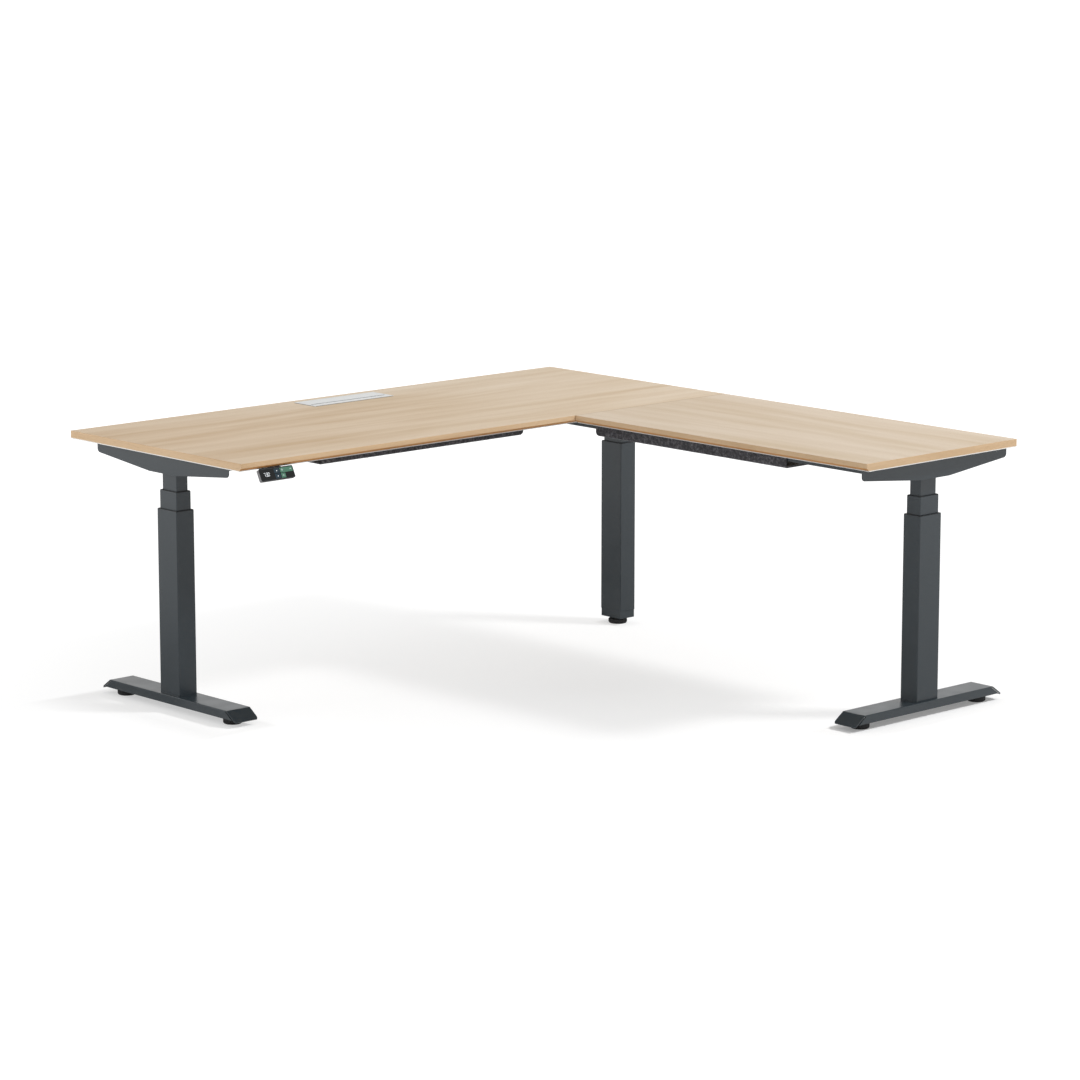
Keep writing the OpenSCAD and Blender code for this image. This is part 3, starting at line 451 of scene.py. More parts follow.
pad_lip, pad_top, boss_radius, boss_top, stud_radius = 0.0012, 0.014, 0.011, 0.017, 0.005
rib_count, rib_radius, rib_height, rib_middle = 40, 0.0009, 0.0066, 0.0086
thread_pitch, thread_depth, stud_chamfer, thread_end = 0.0015, 0.0007, 0.0008, 0.001
for glide in ("left_front_glide", "left_back_glide", "right_left_glide", "right_right_glide",
              "corner_glide"):
    low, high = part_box(glide)
    centre = (low + high) / 2
    radius = (high.x - low.x) / 2
    groove = radius - rib_radius
    # From the sole's middle out to the lip, up the ribbed rim, in over the boss and up the stud
    profile = [(0, 0), (radius - 0.0035, 0), (radius - 0.0022, 0.0006), (radius - pad_lip, 0.002),
               (radius, 0.0036), (radius, 0.0044), (groove, 0.0050), (groove, 0.0122),
               (groove - 0.0006, 0.0134), (groove - 0.002, pad_top), (boss_radius + 0.003, pad_top),
               (boss_radius, pad_top + 0.0004), (boss_radius, boss_top - 0.0005),
               (boss_radius - 0.0005, boss_top), (stud_radius, boss_top)]
    for k in range(int((high.z - thread_end - boss_top) / thread_pitch)):
        profile += [(stud_radius - inset, boss_top + (k + share) * thread_pitch)
                    for inset, share in ((0, 0.2), (thread_depth, 0.5), (0, 0.8))]
    profile += [(stud_radius - stud_chamfer, high.z), (0, high.z)]
    pad = turned(profile, centre)
    piece(glide + "_pad", pad, glide_plastic, glide + "_body", [glide])
    ribs = grown(rib_tree, [(centre.x, centre.y, rib_middle)], {
        "Ring Radius": groove, "Rib Radius": rib_radius, "Rib Height": rib_height, "Ribs": rib_count})
    piece(glide + "_grip", ribs, glide_plastic, glide + "_body")

# ---- Bolts and screws ----
# Socket head bolts hold the feet, the gearboxes and the rails, and pan head screws hold
# everything that is fixed under the boards. They are steel, zinc plated.

head_and_shank = ("Head Radius", "Head Height", "Shank Radius", "Shank Length")
bolt_tree, bolt = grower("socket_bolt", dict.fromkeys(head_and_shank, "Float"))


def upright(shape, z):
    """Geometry moved up to stand at a height, z being a wire"""
    lift = shape.node("ShaderNodeCombineXYZ", {}, {"Z": z})
    return shape.node("GeometryNodeTransform", {}, {"Geometry": shape, "Translation": lift})


def cone(wire, radius, top_radius, depth, sides):
    return wire.node("GeometryNodeMeshCone", {}, {
        "Vertices": sides, "Radius Bottom": radius, "Radius Top": top_radius, "Depth": depth})


def without(shape, cutter):
    return shape.node("GeometryNodeMeshBoolean", {"operation": "DIFFERENCE", "solver": "EXACT"},
                      {"Mesh 1": shape, "Mesh 2": cutter})


def joined(wire, *shapes):
    """Several shapes as one geometry"""
    made = wire.tree.nodes.new("GeometryNodeJoinGeometry")
    for shape in reversed(shapes):
        wire.tree.links.new(shape.socket, made.inputs[0])
    return Wire(wire.tree, made.outputs[0])


def set_on_seats(seats, shape):
    """One copy of a shape on each seat, its Z turned to the seat's aim"""
    aim = seats.node("GeometryNodeInputNamedAttribute", {"data_type": "FLOAT_VECTOR"}, {"Name": "aim"})
    turn = seats.node("FunctionNodeAlignRotationToVector", {"axis": "Z"}, {"Vector": aim})
    return seats.node("GeometryNodeInstanceOnPoints", {}, {
        "Points": seats, "Instance": shape, "Rotation": turn})


# A seat is where the head meets what it clamps: the head stands up from it, the shank goes down.
start = bolt["Seats"]
head_radius, head_height = bolt["Head Radius"], bolt["Head Height"]
lower_head = upright(cylinder(start, head_radius, head_height * 0.85, 24), head_height * 0.425)
upper_head = upright(cone(start, head_radius, head_radius * 0.88, head_height * 0.15, 24),
                     head_height * 0.85)
socket_cut = upright(cylinder(start, head_radius * 0.55, head_height, 6), head_height)
bolt_head = joined(start, without(lower_head, socket_cut), without(upper_head, socket_cut))
bolt_shank = upright(cylinder(start, bolt["Shank Radius"], bolt["Shank Length"], 16),
                     bolt["Shank Length"] * -0.5)
close_grower(bolt_tree, set_on_seats(start, joined(start, bolt_head, bolt_shank)), zinc)

screw_tree, screw = grower("wood_screw", dict.fromkeys(head_and_shank, "Float"))
start = screw["Seats"]
head_radius, head_height = screw["Head Radius"], screw["Head Height"]
lower_head = cone(start, head_radius, head_radius * 0.96, head_height * 0.6, 24)
upper_head = upright(cone(start, head_radius * 0.96, head_radius * 0.6, head_height * 0.4, 24),
                     head_height * 0.6)
blades = []
for turn in (0, math.pi / 2):
    blade = start.node("GeometryNodeMeshCube", {}, {"Size": start.node("ShaderNodeCombineXYZ", {}, {
        "X": head_radius * 1.15, "Y": head_radius * 0.26, "Z": head_height})})
    blade = start.node("GeometryNodeTransform", {}, {"Geometry": blade, "Rotation": (0, 0, turn)})
    blades.append(upright(blade, head_height * 0.95))
cross_head = joined(start, without(without(lower_head, blades[0]), blades[1]),
                    without(without(upper_head, blades[0]), blades[1]))
screw_tip = 0.0003
screw_shank = upright(cone(start, screw_tip, screw["Shank Radius"], screw["Shank Length"], 12),
                      screw["Shank Length"] * -1.0)
close_grower(screw_tree, set_on_seats(start, joined(start, cross_head, screw_shank)), zinc)

rail_nut = {"Nut Radius": 0.005, "Nut Height": 0.0035, "Stud Radius": 0.003,
            "Stud Root": 0.005, "Stud Tip": 0.0055}
nut_tree, nut = grower("stud_nut", dict.fromkeys(rail_nut, "Float"))
start = nut["Seats"]
hexagon = upright(cylinder(start, nut["Nut Radius"], nut["Nut Height"], 6), nut["Nut Height"] * 0.5)
stud_run = nut["Stud Root"] + nut["Stud Tip"]
stud = upright(cylinder(start, nut["Stud Radius"], stud_run, 16),
               (nut["Stud Tip"] - nut["Stud Root"]) * 0.5)
close_grower(nut_tree, set_on_seats(start, joined(start, hexagon, stud)), zinc)

down, up, back = (0, 0, -1), (0, 0, 1), (0, 1, 0)
foot_bolt, gearbox_bolt, rail_bolt, board_screw = (dict(zip(head_and_shank, sizes)) for sizes in (
    (0.0065, 0.005, 0.004, 0.0075), (0.004, 0.0035, 0.0025, 0.048),
    (0.005, 0.0035, 0.003, 0.0085), (0.004, 0.0024, 0.002, 0.0165)))
foot_run, foot_gap, foot_sheet = 0.0305, 0.016, 0.003
gearbox_run, gearbox_gap, gearbox_seat = 0.0235, 0.012, 0.0445
flange_sheet, plate_end, plate_mid, plate_line, housing_line = 0.0025, 0.2685, 0.08, -0.029, 0.0355
flange_spots = ([(run, plate_line) for run in (-plate_end, plate_end, -plate_mid, plate_mid)]
                + [(run, housing_line) for run in (-plate_mid, plate_mid)])
desk_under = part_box("main_top")[0].z
flange_z = desk_under - flange_sheet
head_seats, wood_seats = [], []
for leg, side in (("left", 1), ("corner", -1), ("right", 1)):
    low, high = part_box(leg + "_outer_tube")
    centre = (low + high) / 2
    along = Vector((1, 0, 0)) if high.x - low.x > high.y - low.y else Vector((0, 1, 0))
    across = Vector((along.y, along.x, 0))

    def four_seats(run, gap, z):
        """Seats at a height, run to both ends and gap to both sides of the column's middle"""
        return [(*(centre + along * a * run + across * b * gap).xy, z)
                for a in (-1, 1) for b in (-1, 1)]

    seats = four_seats(foot_run, foot_gap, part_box(leg + "_foot")[1].z - foot_sheet)
    work = grown(bolt_tree, seats, foot_bolt, [down] * len(seats))
    piece(leg + "_base_bolts", work, zinc, leg + "_base", [leg + "_foot_bolts"])
    head_seats += four_seats(gearbox_run, gearbox_gap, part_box(leg + "_bracket")[0].z + gearbox_seat)
    wood_seats += [(*(centre + along * run + across * side * reach).xy, flange_z)
                   for run, reach in flange_spots]

# Nuts on the outer plates' studs, and the two bolts where the return's rails meet the main rail
rail_drop, rail_half, rail_end, rail_sheet = 0.015, 0.01, 0.004, 0.002
rail_z = desk_under - rail_drop
main_low, main_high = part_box("main_rails")
return_low, return_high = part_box("return_rails")
nut_seats = [(x, y, rail_z) for x in (main_low.x + rail_end, main_high.x - rail_end)
             for y in (main_low.y + rail_half, main_high.y - rail_half)]
nut_aims = [(1, 0, 0), (1, 0, 0), (-1, 0, 0), (-1, 0, 0)]
junctions = (return_low.x + rail_half, return_high.x - rail_half)
nut_seats += [(x, return_low.y + rail_end, rail_z) for x in junctions]
nut_aims += [back] * len(junctions)
joint_seats = [(x, main_low.y + rail_sheet, rail_z) for x in junctions]

# The felt trays' four screws each, the control box's two ears and the handset foot's two screws
tray_end, tray_edge, tray_sheet, gaps = 0.06, 0.01, 0.005, 3
ear_edge, handset_edge, handset_half = 0.006, 0.01, 0.012
tray_low, tray_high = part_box("main_tray")
tray_pitch = (tray_high.x - tray_low.x - 2 * tray_end) / gaps
tray_z = desk_under - tray_sheet
wood_seats += [(tray_low.x + tray_end + k * tray_pitch, tray_high.y - tray_edge, tray_z)
               for k in range(gaps + 1)]
tray_low, tray_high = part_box("return_tray")
wood_seats += [(tray_high.x - tray_edge, tray_low.y + tray_end + k * tray_pitch, tray_z)
               for k in range(gaps + 1)]
box_low, box_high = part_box("control_box")
wood_seats += [(x, (box_low.y + box_high.y) / 2, flange_z)
               for x in (box_low.x + ear_edge, box_high.x - ear_edge)]
shell_low, shell_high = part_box("handset_shell")
wood_seats += [((shell_low.x + shell_high.x) / 2 + offset, shell_high.y - handset_edge, flange_z)
               for offset in (-handset_half, handset_half)]

for name, tree, seats, sizes, aims in (
        ("gearbox_bolts", bolt_tree, head_seats, gearbox_bolt, [up] * len(head_seats)),
        ("rail_bolts", bolt_tree, joint_seats, rail_bolt, [back] * len(joint_seats)),
        ("rail_nuts", nut_tree, nut_seats, rail_nut, nut_aims),
        ("board_screws", screw_tree, wood_seats, board_screw, [down] * len(wood_seats))):
    piece(name, grown(tree, seats, sizes, aims), zinc, "desktop", ["frame_screws"])

# ---- Brackets and rails ----
# Over each column a sheet steel side plate carries the board, folded into a channel around
# the gearbox. Channel rails between the plates keep the frame square. All are powder coated.

bend_radius, plate_ease, rail_radius = 0.0025, 0.0006, 0.0015
housing_from, clear_of_board = 0.03, 1e-4
for leg in ("left", "corner", "right"):
    node = leg + "_bracket"
    low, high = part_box(node)
    across = 1 if high.x - low.x > high.y - low.y else 0
    outer, inner = (low, high) if leg != "corner" else (high, low)
    work = eased(merged(node), lambda e: on(middle(e)[across], inner[across])
                 and middle(e).z < high.z - housing_from and not runs_along(e, 2), bend_radius, 3)
    eased(work, lambda e: on(middle(e)[across], outer[across])
          and middle(e).z < high.z - clear_of_board, plate_ease)
    piece(leg + "_side_bracket", work, frame_paint, "desktop", [node])
for node, axis in (("main_rails", 0), ("return_rails", 1)):
    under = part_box(node)[0].z
    work = eased(merged(node), lambda e: runs_along(e, axis) and on(middle(e).z, under), rail_radius, 3)
    piece(node + "_channels", work, frame_paint, "desktop", [node])

# ---- Tops ----
# Two 22 mm boards faced with light oak laminate, its grain along each board's length.
# The edges carry a thin oak band, and the front edges are cut back at 45 degrees below.

joint_from, joint_y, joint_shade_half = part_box("return_top")[0].x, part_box("return_top")[1].y, 0.0015
# Painted shade: over this run from each board's low end, its tint fades to the plain tone
painted_shade_run = (-1.0, 0.2)
edge_foot_pale, pale_strip_height = (0.86, 0.84, 0.81, 1), 0.0023


def oak_look(along, face, painted_shade_tint, lip_z=-1.0):
    """Straight-grained oak. Its tone is tinted darker at the low end of the grain's axis, painted
    shade that fades out along it, and it ends in a pale strip below the height lip_z."""

    def look(place):
        axes = [place.node("ShaderNodeSeparateXYZ", {}, {0: place}, k) for k in range(3)]
        run, cross, up = (axes[0], axes[1], axes[2]) if along == 0 else (axes[1], axes[0], axes[2])

        def stretched(along_scale, across_scale, shift=0.0):
            return place.node("ShaderNodeCombineXYZ", {}, {
                0: run * along_scale + shift, 1: cross * across_scale, 2: up * across_scale})

        sway = grain_noise(stretched(1.3, 2.4, 3.1), 1, 2)
        cross = cross + (sway - 0.5) * 0.06
        broad = grain_noise(stretched(0.7, 7, 7.7), 1, 2, 0.5)
        streak = grain_noise(stretched(1.8, 30, 1.3), 1, 3, 0.5)
        flame = place.node("ShaderNodeTexWave", {"wave_type": "BANDS", "bands_direction": "Y"}, {
            "Vector": stretched(0.25, 1), "Scale": 3.0, "Distortion": 9.0, "Detail": 2.0,
            "Detail Scale": 1.6, "Detail Roughness": 0.6})
        line = grain_noise(stretched(3.5, 120, 4.4), 1, 3, 0.65)
        fibre = grain_noise(stretched(9, 520), 1, 3, 0.7)
        pore = grain_noise(stretched(34, 1300), 1, 1).between(0.60, 0.72)
        tone = broad * 0.48 + streak * 0.26 + line * 0.10 + flame * 0.06 + fibre * 0.10
        # Painted shade: a ramp tinted darker, and the plain one
        shaded_ramp, plain_ramp = (tone.node("ShaderNodeValToRGB", {"stops": [
            (position, tuple(a * b for a, b in zip(face[shade], tint)))
            for position, shade in ((0.36, "dark"), (0.50, "mid"), (0.64, "light"))]}, {0: tone})
            for tint in ((*painted_shade_tint, 1), white))
        painted_shade_drift = (run + (grain_noise(stretched(0.8, 2.5, 2.4), 1, 1) - 0.5) * 0.9).between(*painted_shade_run)
        colour = (pore * 0.35).mixed(painted_shade_drift.mixed(shaded_ramp, plain_ramp), face["pore"])
        # Painted shade in the seam: a dark strip either side of it, where the return meets the main board
        off_joint = axes[1] - joint_y
        painted_joint_shade = (axes[0].math("GREATER_THAN", axes[0], joint_from)
                    * off_joint.math("ABSOLUTE", off_joint).between(joint_shade_half, joint_shade_half * 1.5, 1, 0))
        colour = (painted_joint_shade * 0.75).mixed(colour, face["pore"])
        # The edges and chamfers are pale in a thin strip along their bottom
        colour = up.between(lip_z, lip_z + 0.0003, 1, 0).mixed(colour, edge_foot_pale)
        return {"Base Color": colour,
                "Roughness": fibre.between(0.2, 0.8, 0.50, 0.60),
                "Specular IOR Level": 0.25,
                "Normal": bumped(fibre * 0.6 - pore * 0.4, 0.10, 0.0002)}

    return look


oak_face = {"light": (0.71, 0.59, 0.455, 1), "mid": (0.655, 0.525, 0.38, 1),
            "dark": (0.565, 0.415, 0.26, 1), "pore": (0.40, 0.28, 0.17, 1)}
oak_calm = {"light": (0.685, 0.575, 0.455, 1), "mid": (0.635, 0.52, 0.395, 1),
            "dark": (0.57, 0.445, 0.305, 1), "pore": (0.40, 0.28, 0.17, 1)}
oak_band = {"light": (0.70, 0.51, 0.325, 1), "mid": (0.64, 0.45, 0.275, 1),
            "dark": (0.54, 0.36, 0.20, 1), "pore": (0.36, 0.23, 0.12, 1)}
# The chamfers below the edges take a darker, more orange copy of the band: painted shade where they face
# down
shaded_slope_oak = {"light": (0.634, 0.319, 0.114, 1), "mid": (0.55, 0.264, 0.088, 1),
             "dark": (0.44, 0.198, 0.062, 1), "pore": (0.30, 0.13, 0.045, 1)}
board_ease, shortest = 0.0008, 0.012
# Each board's tint is painted shade at its low end: the main board's left end, the return's front end
for node, name, along, face, painted_shade_tint in (
        ("main_top", "main_board", 0, oak_face, (0.95, 0.90, 0.84)),
        ("return_top", "return_board", 1, oak_calm, (0.98, 0.985, 0.99))):
    low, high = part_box(node)
    across = 1 - along
    lip_z = low.z + pale_strip_height
    looks = [finish(f"{name}_face", oak_look(along, face, painted_shade_tint)),
             finish(f"{name}_long_edge", oak_look(along, oak_band, painted_shade_tint, lip_z)),
             finish(f"{name}_end_edge", oak_look(across, oak_band, (1, 1, 1), lip_z)),
             finish(f"{name}_slope", oak_look(along, shaded_slope_oak, painted_shade_tint, lip_z))]

    def outline(edge):
        place = middle(edge)
        on_border = on(place.x, low.x, high.x) or on(place.y, low.y, high.y)
        return on_border and edge.calc_length() > shortest

    work = eased(merged(node), outline, board_ease, 3)
    # Faces turned down, the chamfers, take the painted-shade copy of the band
    for face in work.faces:
        normal = face.normal
        if abs(normal.z) > 0.95:
            face.material_index = 0
        elif normal.z < -0.5:
            face.material_index = 3
        elif abs(normal[along]) > abs(normal[across]):
            face.material_index = 2
        else:
            face.material_index = 1
    piece(name, work, looks, "desktop", [node], crease=50)

# ---- Cable trays ----
# One strip of pressed grey felt, 5 mm thick, is folded into a channel that is open at both
# ends. It is screwed to the board through its back flange.


def pressed_felt(place):
    fleck = place.node("ShaderNodeTexVoronoi", {"feature": "F1"}, {
        "Vector": place, "Scale": 420.0, "Randomness": 1.0})
    clump = grain_noise(place, 160, 3, 0.7)
    hair = grain_noise(place.node("ShaderNodeMapping", {}, {
        "Vector": place, "Rotation": (0.4, 0.9, 0.6), "Scale": (300, 1500, 900)}), 1, 3, 0.7)
    patch = grain_noise(place, 125, 3, 0.65)
    tone = patch * 0.50 + clump * 0.25 + hair * 0.25
    colour = tone.node("ShaderNodeValToRGB", {"stops": [
        (0.38, (0.014, 0.014, 0.017, 1)), (0.50, (0.044, 0.044, 0.052, 1)),
        (0.62, (0.16, 0.16, 0.18, 1))]}, {0: tone})
    return {"Base Color": colour, "Roughness": 0.95, "Sheen Weight": 0.25, "Sheen Roughness": 0.5,
            "Normal": bumped(tone + fleck * 0.3, 0.8, 0.0009)}


grey_felt = finish("grey_felt", pressed_felt)


def arc(centre, radius, first, last, steps=6):
    """Points on an arc, angles in degrees"""
    return [(centre[0] + radius * math.cos(math.radians(first + (last - first) * k / steps)),
             centre[1] + radius * math.sin(math.radians(first + (last - first) * k / steps)))
            for k in range(steps + 1)]


def split_long(points, longest):
    """Adds points so that no side of a closed outline is longer than a length"""
    result = []
    for (ax, ay), (bx, by) in zip(points, points[1:] + points[:1]):
        pieces = max(1, math.ceil(math.hypot(bx - ax, by - ay) / longest))
        result += [(ax + (bx - ax) * k / pieces, ay + (by - ay) * k / pieces) for k in range(pieces)]
    return result


felt, fold, flange, longest = 0.005, 0.006, 0.02, 0.006
steps, end_bevel = 150, 0.008
ripples, still_top, still_side = ((60, 0.00018), (400, 0.00012)), 0.001, 0.0004
for node, along in (("main_tray", 0), ("return_tray", 1)):
    low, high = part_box(node)
    across = 1 - along
    a0, a1 = low[across], high[across]
    z0, z1 = low.z, high.z
    wall = a1 - flange
    inner = fold - felt
    outline = split_long(
        [(a0, z1)]
        + arc((a0 + fold, z0 + fold), fold, 180, 270)
        + arc((wall - fold, z0 + fold), fold, 270, 360)
        + arc((wall + inner, z1 - fold), inner, 180, 90)
        + [(a1, z1 - felt), (a1, z1)]
        + arc((wall + inner, z1 - fold), fold, 90, 180)
        + arc((wall - fold, z0 + fold), inner, 0, -90)
        + arc((a0 + fold, z0 + fold), inner, 270, 180)
        + [(a0 + felt, z1)], longest)
    work = bmesh.new()
    loops = []
    for k in range(steps + 1):
        run = low[along] + (high[along] - low[along]) * k / steps
        loop = []
        for across_at, z in outline:
            point = [0, 0, z]
            point[along] = min(run, high[along], high[along] - end_bevel + (z - z0))
            point[across] = across_at
            if z < z1 - still_top and a0 + still_side < across_at < a1 - still_side:
                point[2] += sum(noise.noise(Vector(point) * scale) * depth for scale, depth in ripples)
            loop.append(work.verts.new(point))
        loops.append(loop)
    for first, second in zip(loops, loops[1:]):
        for k in range(len(outline)):
            after = (k + 1) % len(outline)
            work.faces.new([first[k], first[after], second[after], second[k]])
    work.faces.new(loops[0])
    work.faces.new(loops[-1])
    bmesh.ops.remove_doubles(work, verts=work.verts, dist=2e-6)
    bmesh.ops.recalc_face_normals(work, faces=work.faces)
    piece(node + "_felt", work, grey_felt, "desktop", [node])

# ---- Control box ----
# A moulded black box is screwed under the main board by its two ears. It has cooling slats
# below and a mains inlet at the back.

work = merged("control_box")
low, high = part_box("control_box")
box_radius, longer_than, lid_depth = 0.0015, 0.03, 0.003
eased(work, lambda e: e.calc_length() > longer_than and middle(e).z < high.z - lid_depth, box_radius, 3)
piece("control_box_case", work, black_plastic, "desktop", ["control_box"])

slat_size = {"Slat Width": 0.0022, "Slat Length": 0.055, "Slat Height": 0.0012}
slats, slat_pitch, slats_from_middle = 13, 0.006, 0.055
slat_tree, slat = grower("cooling_slats", dict.fromkeys(slat_size, "Float"))
start = slat["Seats"]
slat_bar = start.node("GeometryNodeMeshCube", {}, {"Size": start.node("ShaderNodeCombineXYZ", {}, {
    "X": slat["Slat Width"], "Y": slat["Slat Length"], "Z": slat["Slat Height"]})})
close_grower(slat_tree, repeated(start, slat_bar), black_plastic)
slat_seats = [((low.x + high.x) / 2 + side * slats_from_middle + (k - slats // 2) * slat_pitch,
               (low.y + high.y) / 2, low.z) for side in (-1, 1) for k in range(slats)]
work = grown(slat_tree, slat_seats, slat_size)
piece("control_box_slats", work, black_plastic, "desktop")

# ---- Handset ----
# A flat moulded case leans under the front edge on a foot that is screwed to the board. Its gloss
# panel carries the display, navy raise and lower keys, and two green keys for stored heights.


def lit_look(place):
    cloud = grain_noise(place, 300)
    colour = cloud.mixed((0.74, 0.78, 0.80, 1), (0.82, 0.86, 0.88, 1))
    return {"Base Color": colour, "Roughness": 0.4, "Emission Color": colour, "Emission Strength": 0.35}


handset_black = finish("handset_black", clouded(
    90, ((0.030, 0.031, 0.033), (0.040, 0.041, 0.043)), (0.38, 0.48), (1800, 0.08, 0.0001)))
handset_rim = finish("handset_rim", clouded(
    140, ((0.19, 0.19, 0.20), (0.27, 0.27, 0.28)), (0.28, 0.38)))
handset_gloss = finish("handset_gloss", clouded(
    40, ((0.010, 0.011, 0.011), (0.014, 0.015, 0.015)), (0.16, 0.22), None, 0.18))
key_navy, key_green = (
    finish(name, clouded(120, tones, (0.40, 0.50), (2200, 0.06, 0.0001), 0.2)) for name, tones in (
        ("key_navy", ((0.022, 0.038, 0.052), (0.030, 0.050, 0.066))),
        ("key_green", ((0.08, 0.19, 0.13), (0.10, 0.23, 0.16)))))
display_white = finish("display_white", lit_look)

# The face leans: right runs along X, rise goes up the face and facing stands out of it.
face_lean = math.radians(27)
right = Vector((1, 0, 0))
rise = Vector((0, math.sin(face_lean), math.cos(face_lean)))
facing = Vector((0, -math.cos(face_lean), math.sin(face_lean)))
panel_thickness = 0.0015
panel_low, panel_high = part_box("handset_panel")
face_centre = (panel_low + panel_high) / 2 + facing * panel_thickness / 2

face_half, rise_half, ends_from = 0.0568, 0.0165, 0.045
case_ease, panel_ease, longer_than = 0.0006, 0.0003, 0.02
work = merged("handset_shell")
eased(work, lambda e: (middle(e) - face_centre).dot(facing) > -1e-5
      and middle(e).z < shell_high.z - clear_of_board
      and (abs((middle(e) - face_centre).dot(right)) > face_half
           or abs((middle(e) - face_centre).dot(rise)) > rise_half), case_ease)
for face in work.faces:
    on_end = abs((face.calc_center_median() - face_centre).dot(right)) > ends_from
    face.material_index = int(on_end and abs(face.normal.dot(facing)) < 0.2)
piece("handset_case", work, [handset_black, handset_rim], "desktop", ["handset_shell"])
work = eased(merged("handset_panel"), lambda e: e.calc_length() > longer_than, panel_ease)
piece("handset_glass", work, handset_gloss, "desktop", ["handset_panel"])
for key, look, slot in (("raise", key_navy, "key_navy"), ("lower", key_navy, "key_navy"),
                        ("sit", key_green, "key_green"), ("stand", key_green, "key_green")):
    work = eased(merged(key + "_key"), lambda e: True, panel_ease)
    piece(key + "_key_cap", work, look, key + "_button", [key + "_key"])


def bar(start, end, thick):
    """A straight stroke with pointed ends, as an outline in millimetres"""
    dx, dy = end[0] - start[0], end[1] - start[1]
    length = math.hypot(dx, dy)
    dx, dy = dx / length * thick / 2, dy / length * thick / 2
    return [start, (start[0] + dx - dy, start[1] + dy + dx), (end[0] - dx - dy, end[1] - dy + dx),
            end, (end[0] - dx + dy, end[1] - dy - dx), (start[0] + dx + dy, start[1] + dy - dx)]


def printed(name, outlines, body, lift=0.00005):
    """Thin flat shapes that lie on the face, from outlines in millimetres about the face's centre"""
    work = bmesh.new()
    for outline in outlines:
        layers = [[work.verts.new(face_centre + right * x * 0.001 + rise * y * 0.001 + facing * w)
                   for x, y in outline] for w in (-lift, lift)]
        work.faces.new(layers[0][::-1])
        work.faces.new(layers[1])
        for k in range(len(outline)):
            after = (k + 1) % len(outline)
            work.faces.new([layers[0][k], layers[0][after], layers[1][after], layers[1][k]])
    bmesh.ops.recalc_face_normals(work, faces=work.faces)
    piece(name, work, display_white, body)


# The display shows the height in centimetres.
digit_wide, digit_tall, digit_pitch, digit_slant, stroke = 4.6, 9.4, 7.0, 0.14, 1.15
digits_left, digits_base = -44.5, -4.4
segments = {"top": ((0, 1), (1, 1)), "upper right": ((1, 1), (1, 0.5)),
            "lower right": ((1, 0.5), (1, 0)), "bottom": ((0, 0), (1, 0)),
            "lower left": ((0, 0.5), (0, 0)), "upper left": ((0, 1), (0, 0.5)),
            "middle": ((0, 0.5), (1, 0.5))}
digits = (("top", "upper right", "lower right"),
          ("top", "upper right", "middle", "lower right", "bottom"),
          ("top", "upper right", "lower right", "bottom", "lower left", "upper left"))


def on_digit(column, point):
    height = point[1] * digit_tall
    return (digits_left + column * digit_pitch + point[0] * digit_wide + height * digit_slant,
            digits_base + height)


strokes = [bar(*(on_digit(column, point) for point in segments[part]), stroke)
           for column, parts in enumerate(digits) for part in parts]
dot_half = 0.6
dot_x, dot_y = digits_left + 2 * digit_pitch - (digit_pitch - digit_wide) / 2, digits_base
strokes.append([(dot_x + x * dot_half, dot_y + y * dot_half) for x, y in corners])
printed("display_digits", strokes, "desktop")

# Arrows on the raise and lower keys; a high desk, an arrow and a low desk on the green ones
arrow_wide, arrow_tall, arrow_x, arrow_y = 1.7, 2.2, 1.7, 7.4
for name, body, way in (("raise_mark", "raise_button", 1), ("lower_mark", "lower_button", -1)):
    printed(name, [[(arrow_x - arrow_wide, way * (arrow_y - arrow_tall / 2)),
                    (arrow_x + arrow_wide, way * (arrow_y - arrow_tall / 2)),
                    (arrow_x, way * (arrow_y + arrow_tall))]], body)


def desk_sign(x, y, tall):
    """A small table seen from the side: its board and two legs"""
    return ([bar((x - board_half, y + tall), (x + board_half, y + tall), board_stroke)]
            + [bar((x + out, y), (x + out, y + tall), leg_stroke) for out in (-legs_out, legs_out)])


board_half, legs_out, board_stroke, leg_stroke = 2.2, 1.5, 0.8, 0.6
arrow_strokes = [bar((46, 6.2), (48, 9.0), board_stroke), bar((48, 9.0), (50, 6.2), board_stroke)]
printed("stand_mark", desk_sign(19.5, 5.4, 4.2) + arrow_strokes, "stand_button")
printed("sit_mark", desk_sign(20, -9.0, 2.4), "sit_button")

# ---- Cable flap ----
# A painted metal frame let into the board, with a lid that hinges at the back.
# Bristles close the slot in front of the lid, where the cables come up.


# Painted shade: a dark grey for the flap's upright outer sides, where a shadow gap would fall
def flap_side_shade_look(place):
    cloud = grain_noise(place, 200)
    return {"Base Color": cloud.mixed((0.30, 0.30, 0.30, 1), (0.38, 0.38, 0.38, 1)), "Metallic": 0.4,
            "Roughness": 0.5}


white_paint = finish("white_paint", clouded(
    25, ((0.68, 0.69, 0.685), (0.715, 0.725, 0.72)), (0.38, 0.48), (1100, 0.08, 0.0002, 3), 0.4))
flap_side_shade = finish("flap_side_shade", flap_side_shade_look)
bristle_nylon = finish("bristle_nylon", clouded(
    500, ((0.13, 0.13, 0.135), (0.22, 0.22, 0.225)), 0.6))
low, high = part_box("flap_frame")
corner_radius, sheet_ease, rim_depth, plate_depth, longer_than = 0.003, 0.0004, 0.002, 0.001, 0.01
work = merged("flap_frame")
eased(work, lambda e: runs_along(e, 2) and middle(e).z > high.z - plate_depth
      and on(middle(e).x, low.x, high.x), corner_radius, 4)
eased(work, lambda e: on(middle(e).z, high.z), sheet_ease)
# The rim's upright outer sides take the painted shade
for face in work.faces:
    place = face.calc_center_median()
    on_rim = on(place.x, low.x, high.x) or on(place.y, low.y, high.y)
    face.material_index = int(on_rim and place.z > high.z - rim_depth and abs(face.normal.z) < 0.5)
piece("flap_surround", work, [white_paint, flap_side_shade], "desktop", ["flap_frame"])
lid_low, lid_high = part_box("flap_lid")
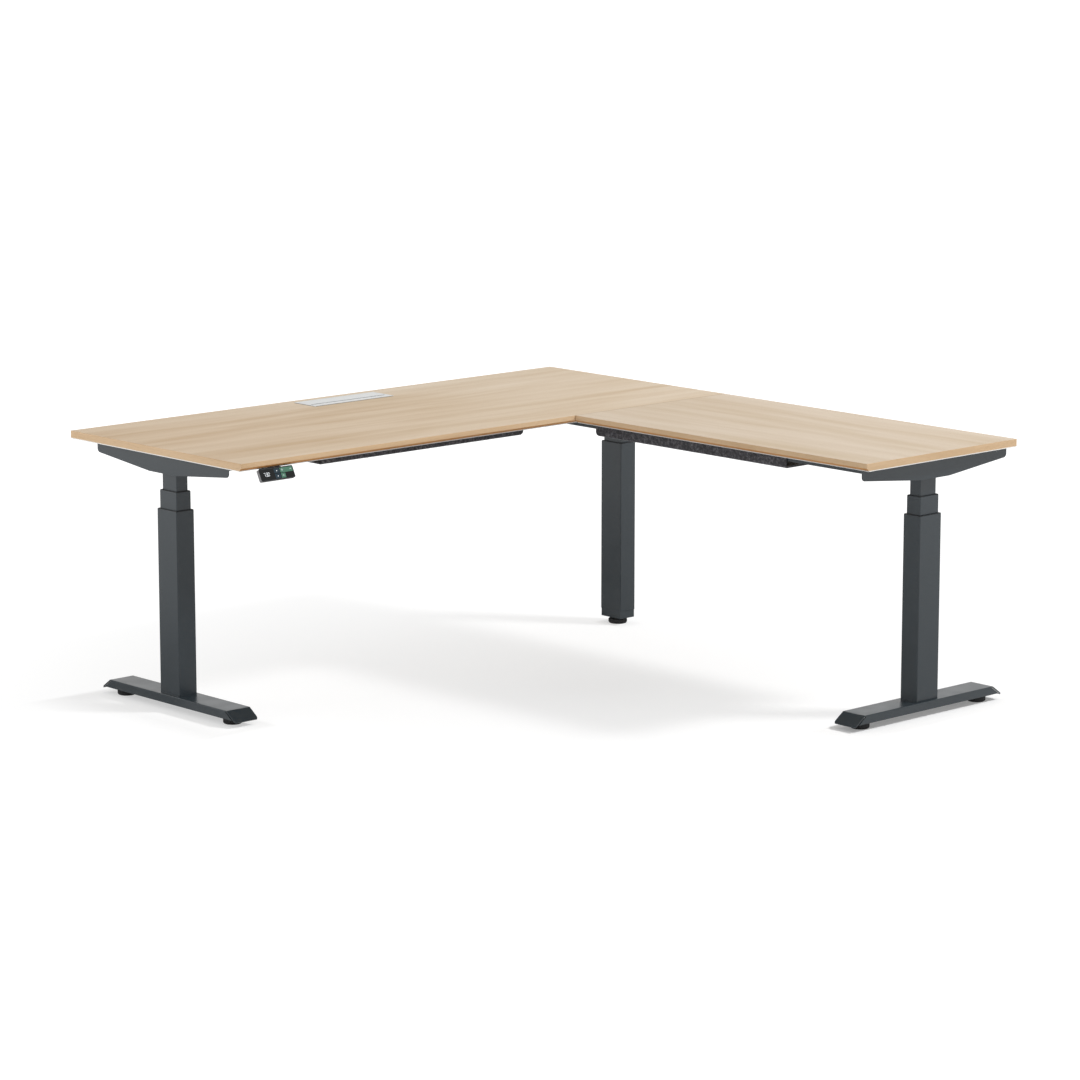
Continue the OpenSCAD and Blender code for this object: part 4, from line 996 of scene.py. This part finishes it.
work = eased(merged("flap_lid"), lambda e: e.calc_length() > longer_than
             and on(middle(e).z, lid_high.z), sheet_ease)
# The lid's front face takes the same painted shade
for face in work.faces:
    face.material_index = int(face.normal.y < -0.9 and on(face.calc_center_median().y, lid_low.y))
piece("flap_cover", work, [white_paint, flap_side_shade], "lid", ["flap_lid"])

brush_tree, brush = grower("brush_rows", {
    "Bristles": "Int", "Pitch": "Float", "Bristle Length": "Float", "Bristle Radius": "Float",
    "Spread": "Float", "Seed": "Int"})
start = brush["Seats"]
step = start.node("ShaderNodeCombineXYZ", {}, {"X": brush["Pitch"]})
row = start.node("GeometryNodeMeshLine", {}, {"Count": brush["Bristles"], "Offset": step})
roots = start.node("GeometryNodeRealizeInstances", {}, {"Geometry": repeated(start, row)})
hair = cone(start, brush["Bristle Radius"], brush["Bristle Radius"] * 0.7, brush["Bristle Length"], 4)
hair = start.node("GeometryNodeTransform", {}, {"Geometry": hair, "Rotation": (-math.pi / 2, 0, 0)})
sway = start.node("FunctionNodeRandomValue", {"data_type": "FLOAT_VECTOR"}, {
    "Min": start.node("ShaderNodeCombineXYZ", {}, {0: brush["Spread"] * -0.4, 2: brush["Spread"] * -1.0}),
    "Max": start.node("ShaderNodeCombineXYZ", {}, {0: brush["Spread"] * 0.4, 2: brush["Spread"]}),
    "Seed": brush["Seed"]})
turned_hair = start.node("FunctionNodeEulerToRotation", {}, {0: sway})
close_grower(brush_tree, start.node("GeometryNodeInstanceOnPoints", {}, {
    "Points": roots, "Instance": hair, "Rotation": turned_hair}), bristle_nylon)

slot_width, slot_inset, bristle_pitch, row_depths = 0.0055, 0.0065, 0.0006, (0.0004, 0.0012)
slot_start, slot_end = lid_low.x + slot_inset, lid_high.x - slot_inset
brush_seats = [(slot_start, lid_low.y - slot_width, high.z - depth) for depth in row_depths]
work = grown(brush_tree, brush_seats, {
    "Bristles": int((slot_end - slot_start) / bristle_pitch), "Pitch": bristle_pitch,
    "Bristle Length": 0.0052, "Bristle Radius": 0.00022, "Spread": 0.12, "Seed": 7})
piece("flap_brush", work, bristle_nylon, "desktop")
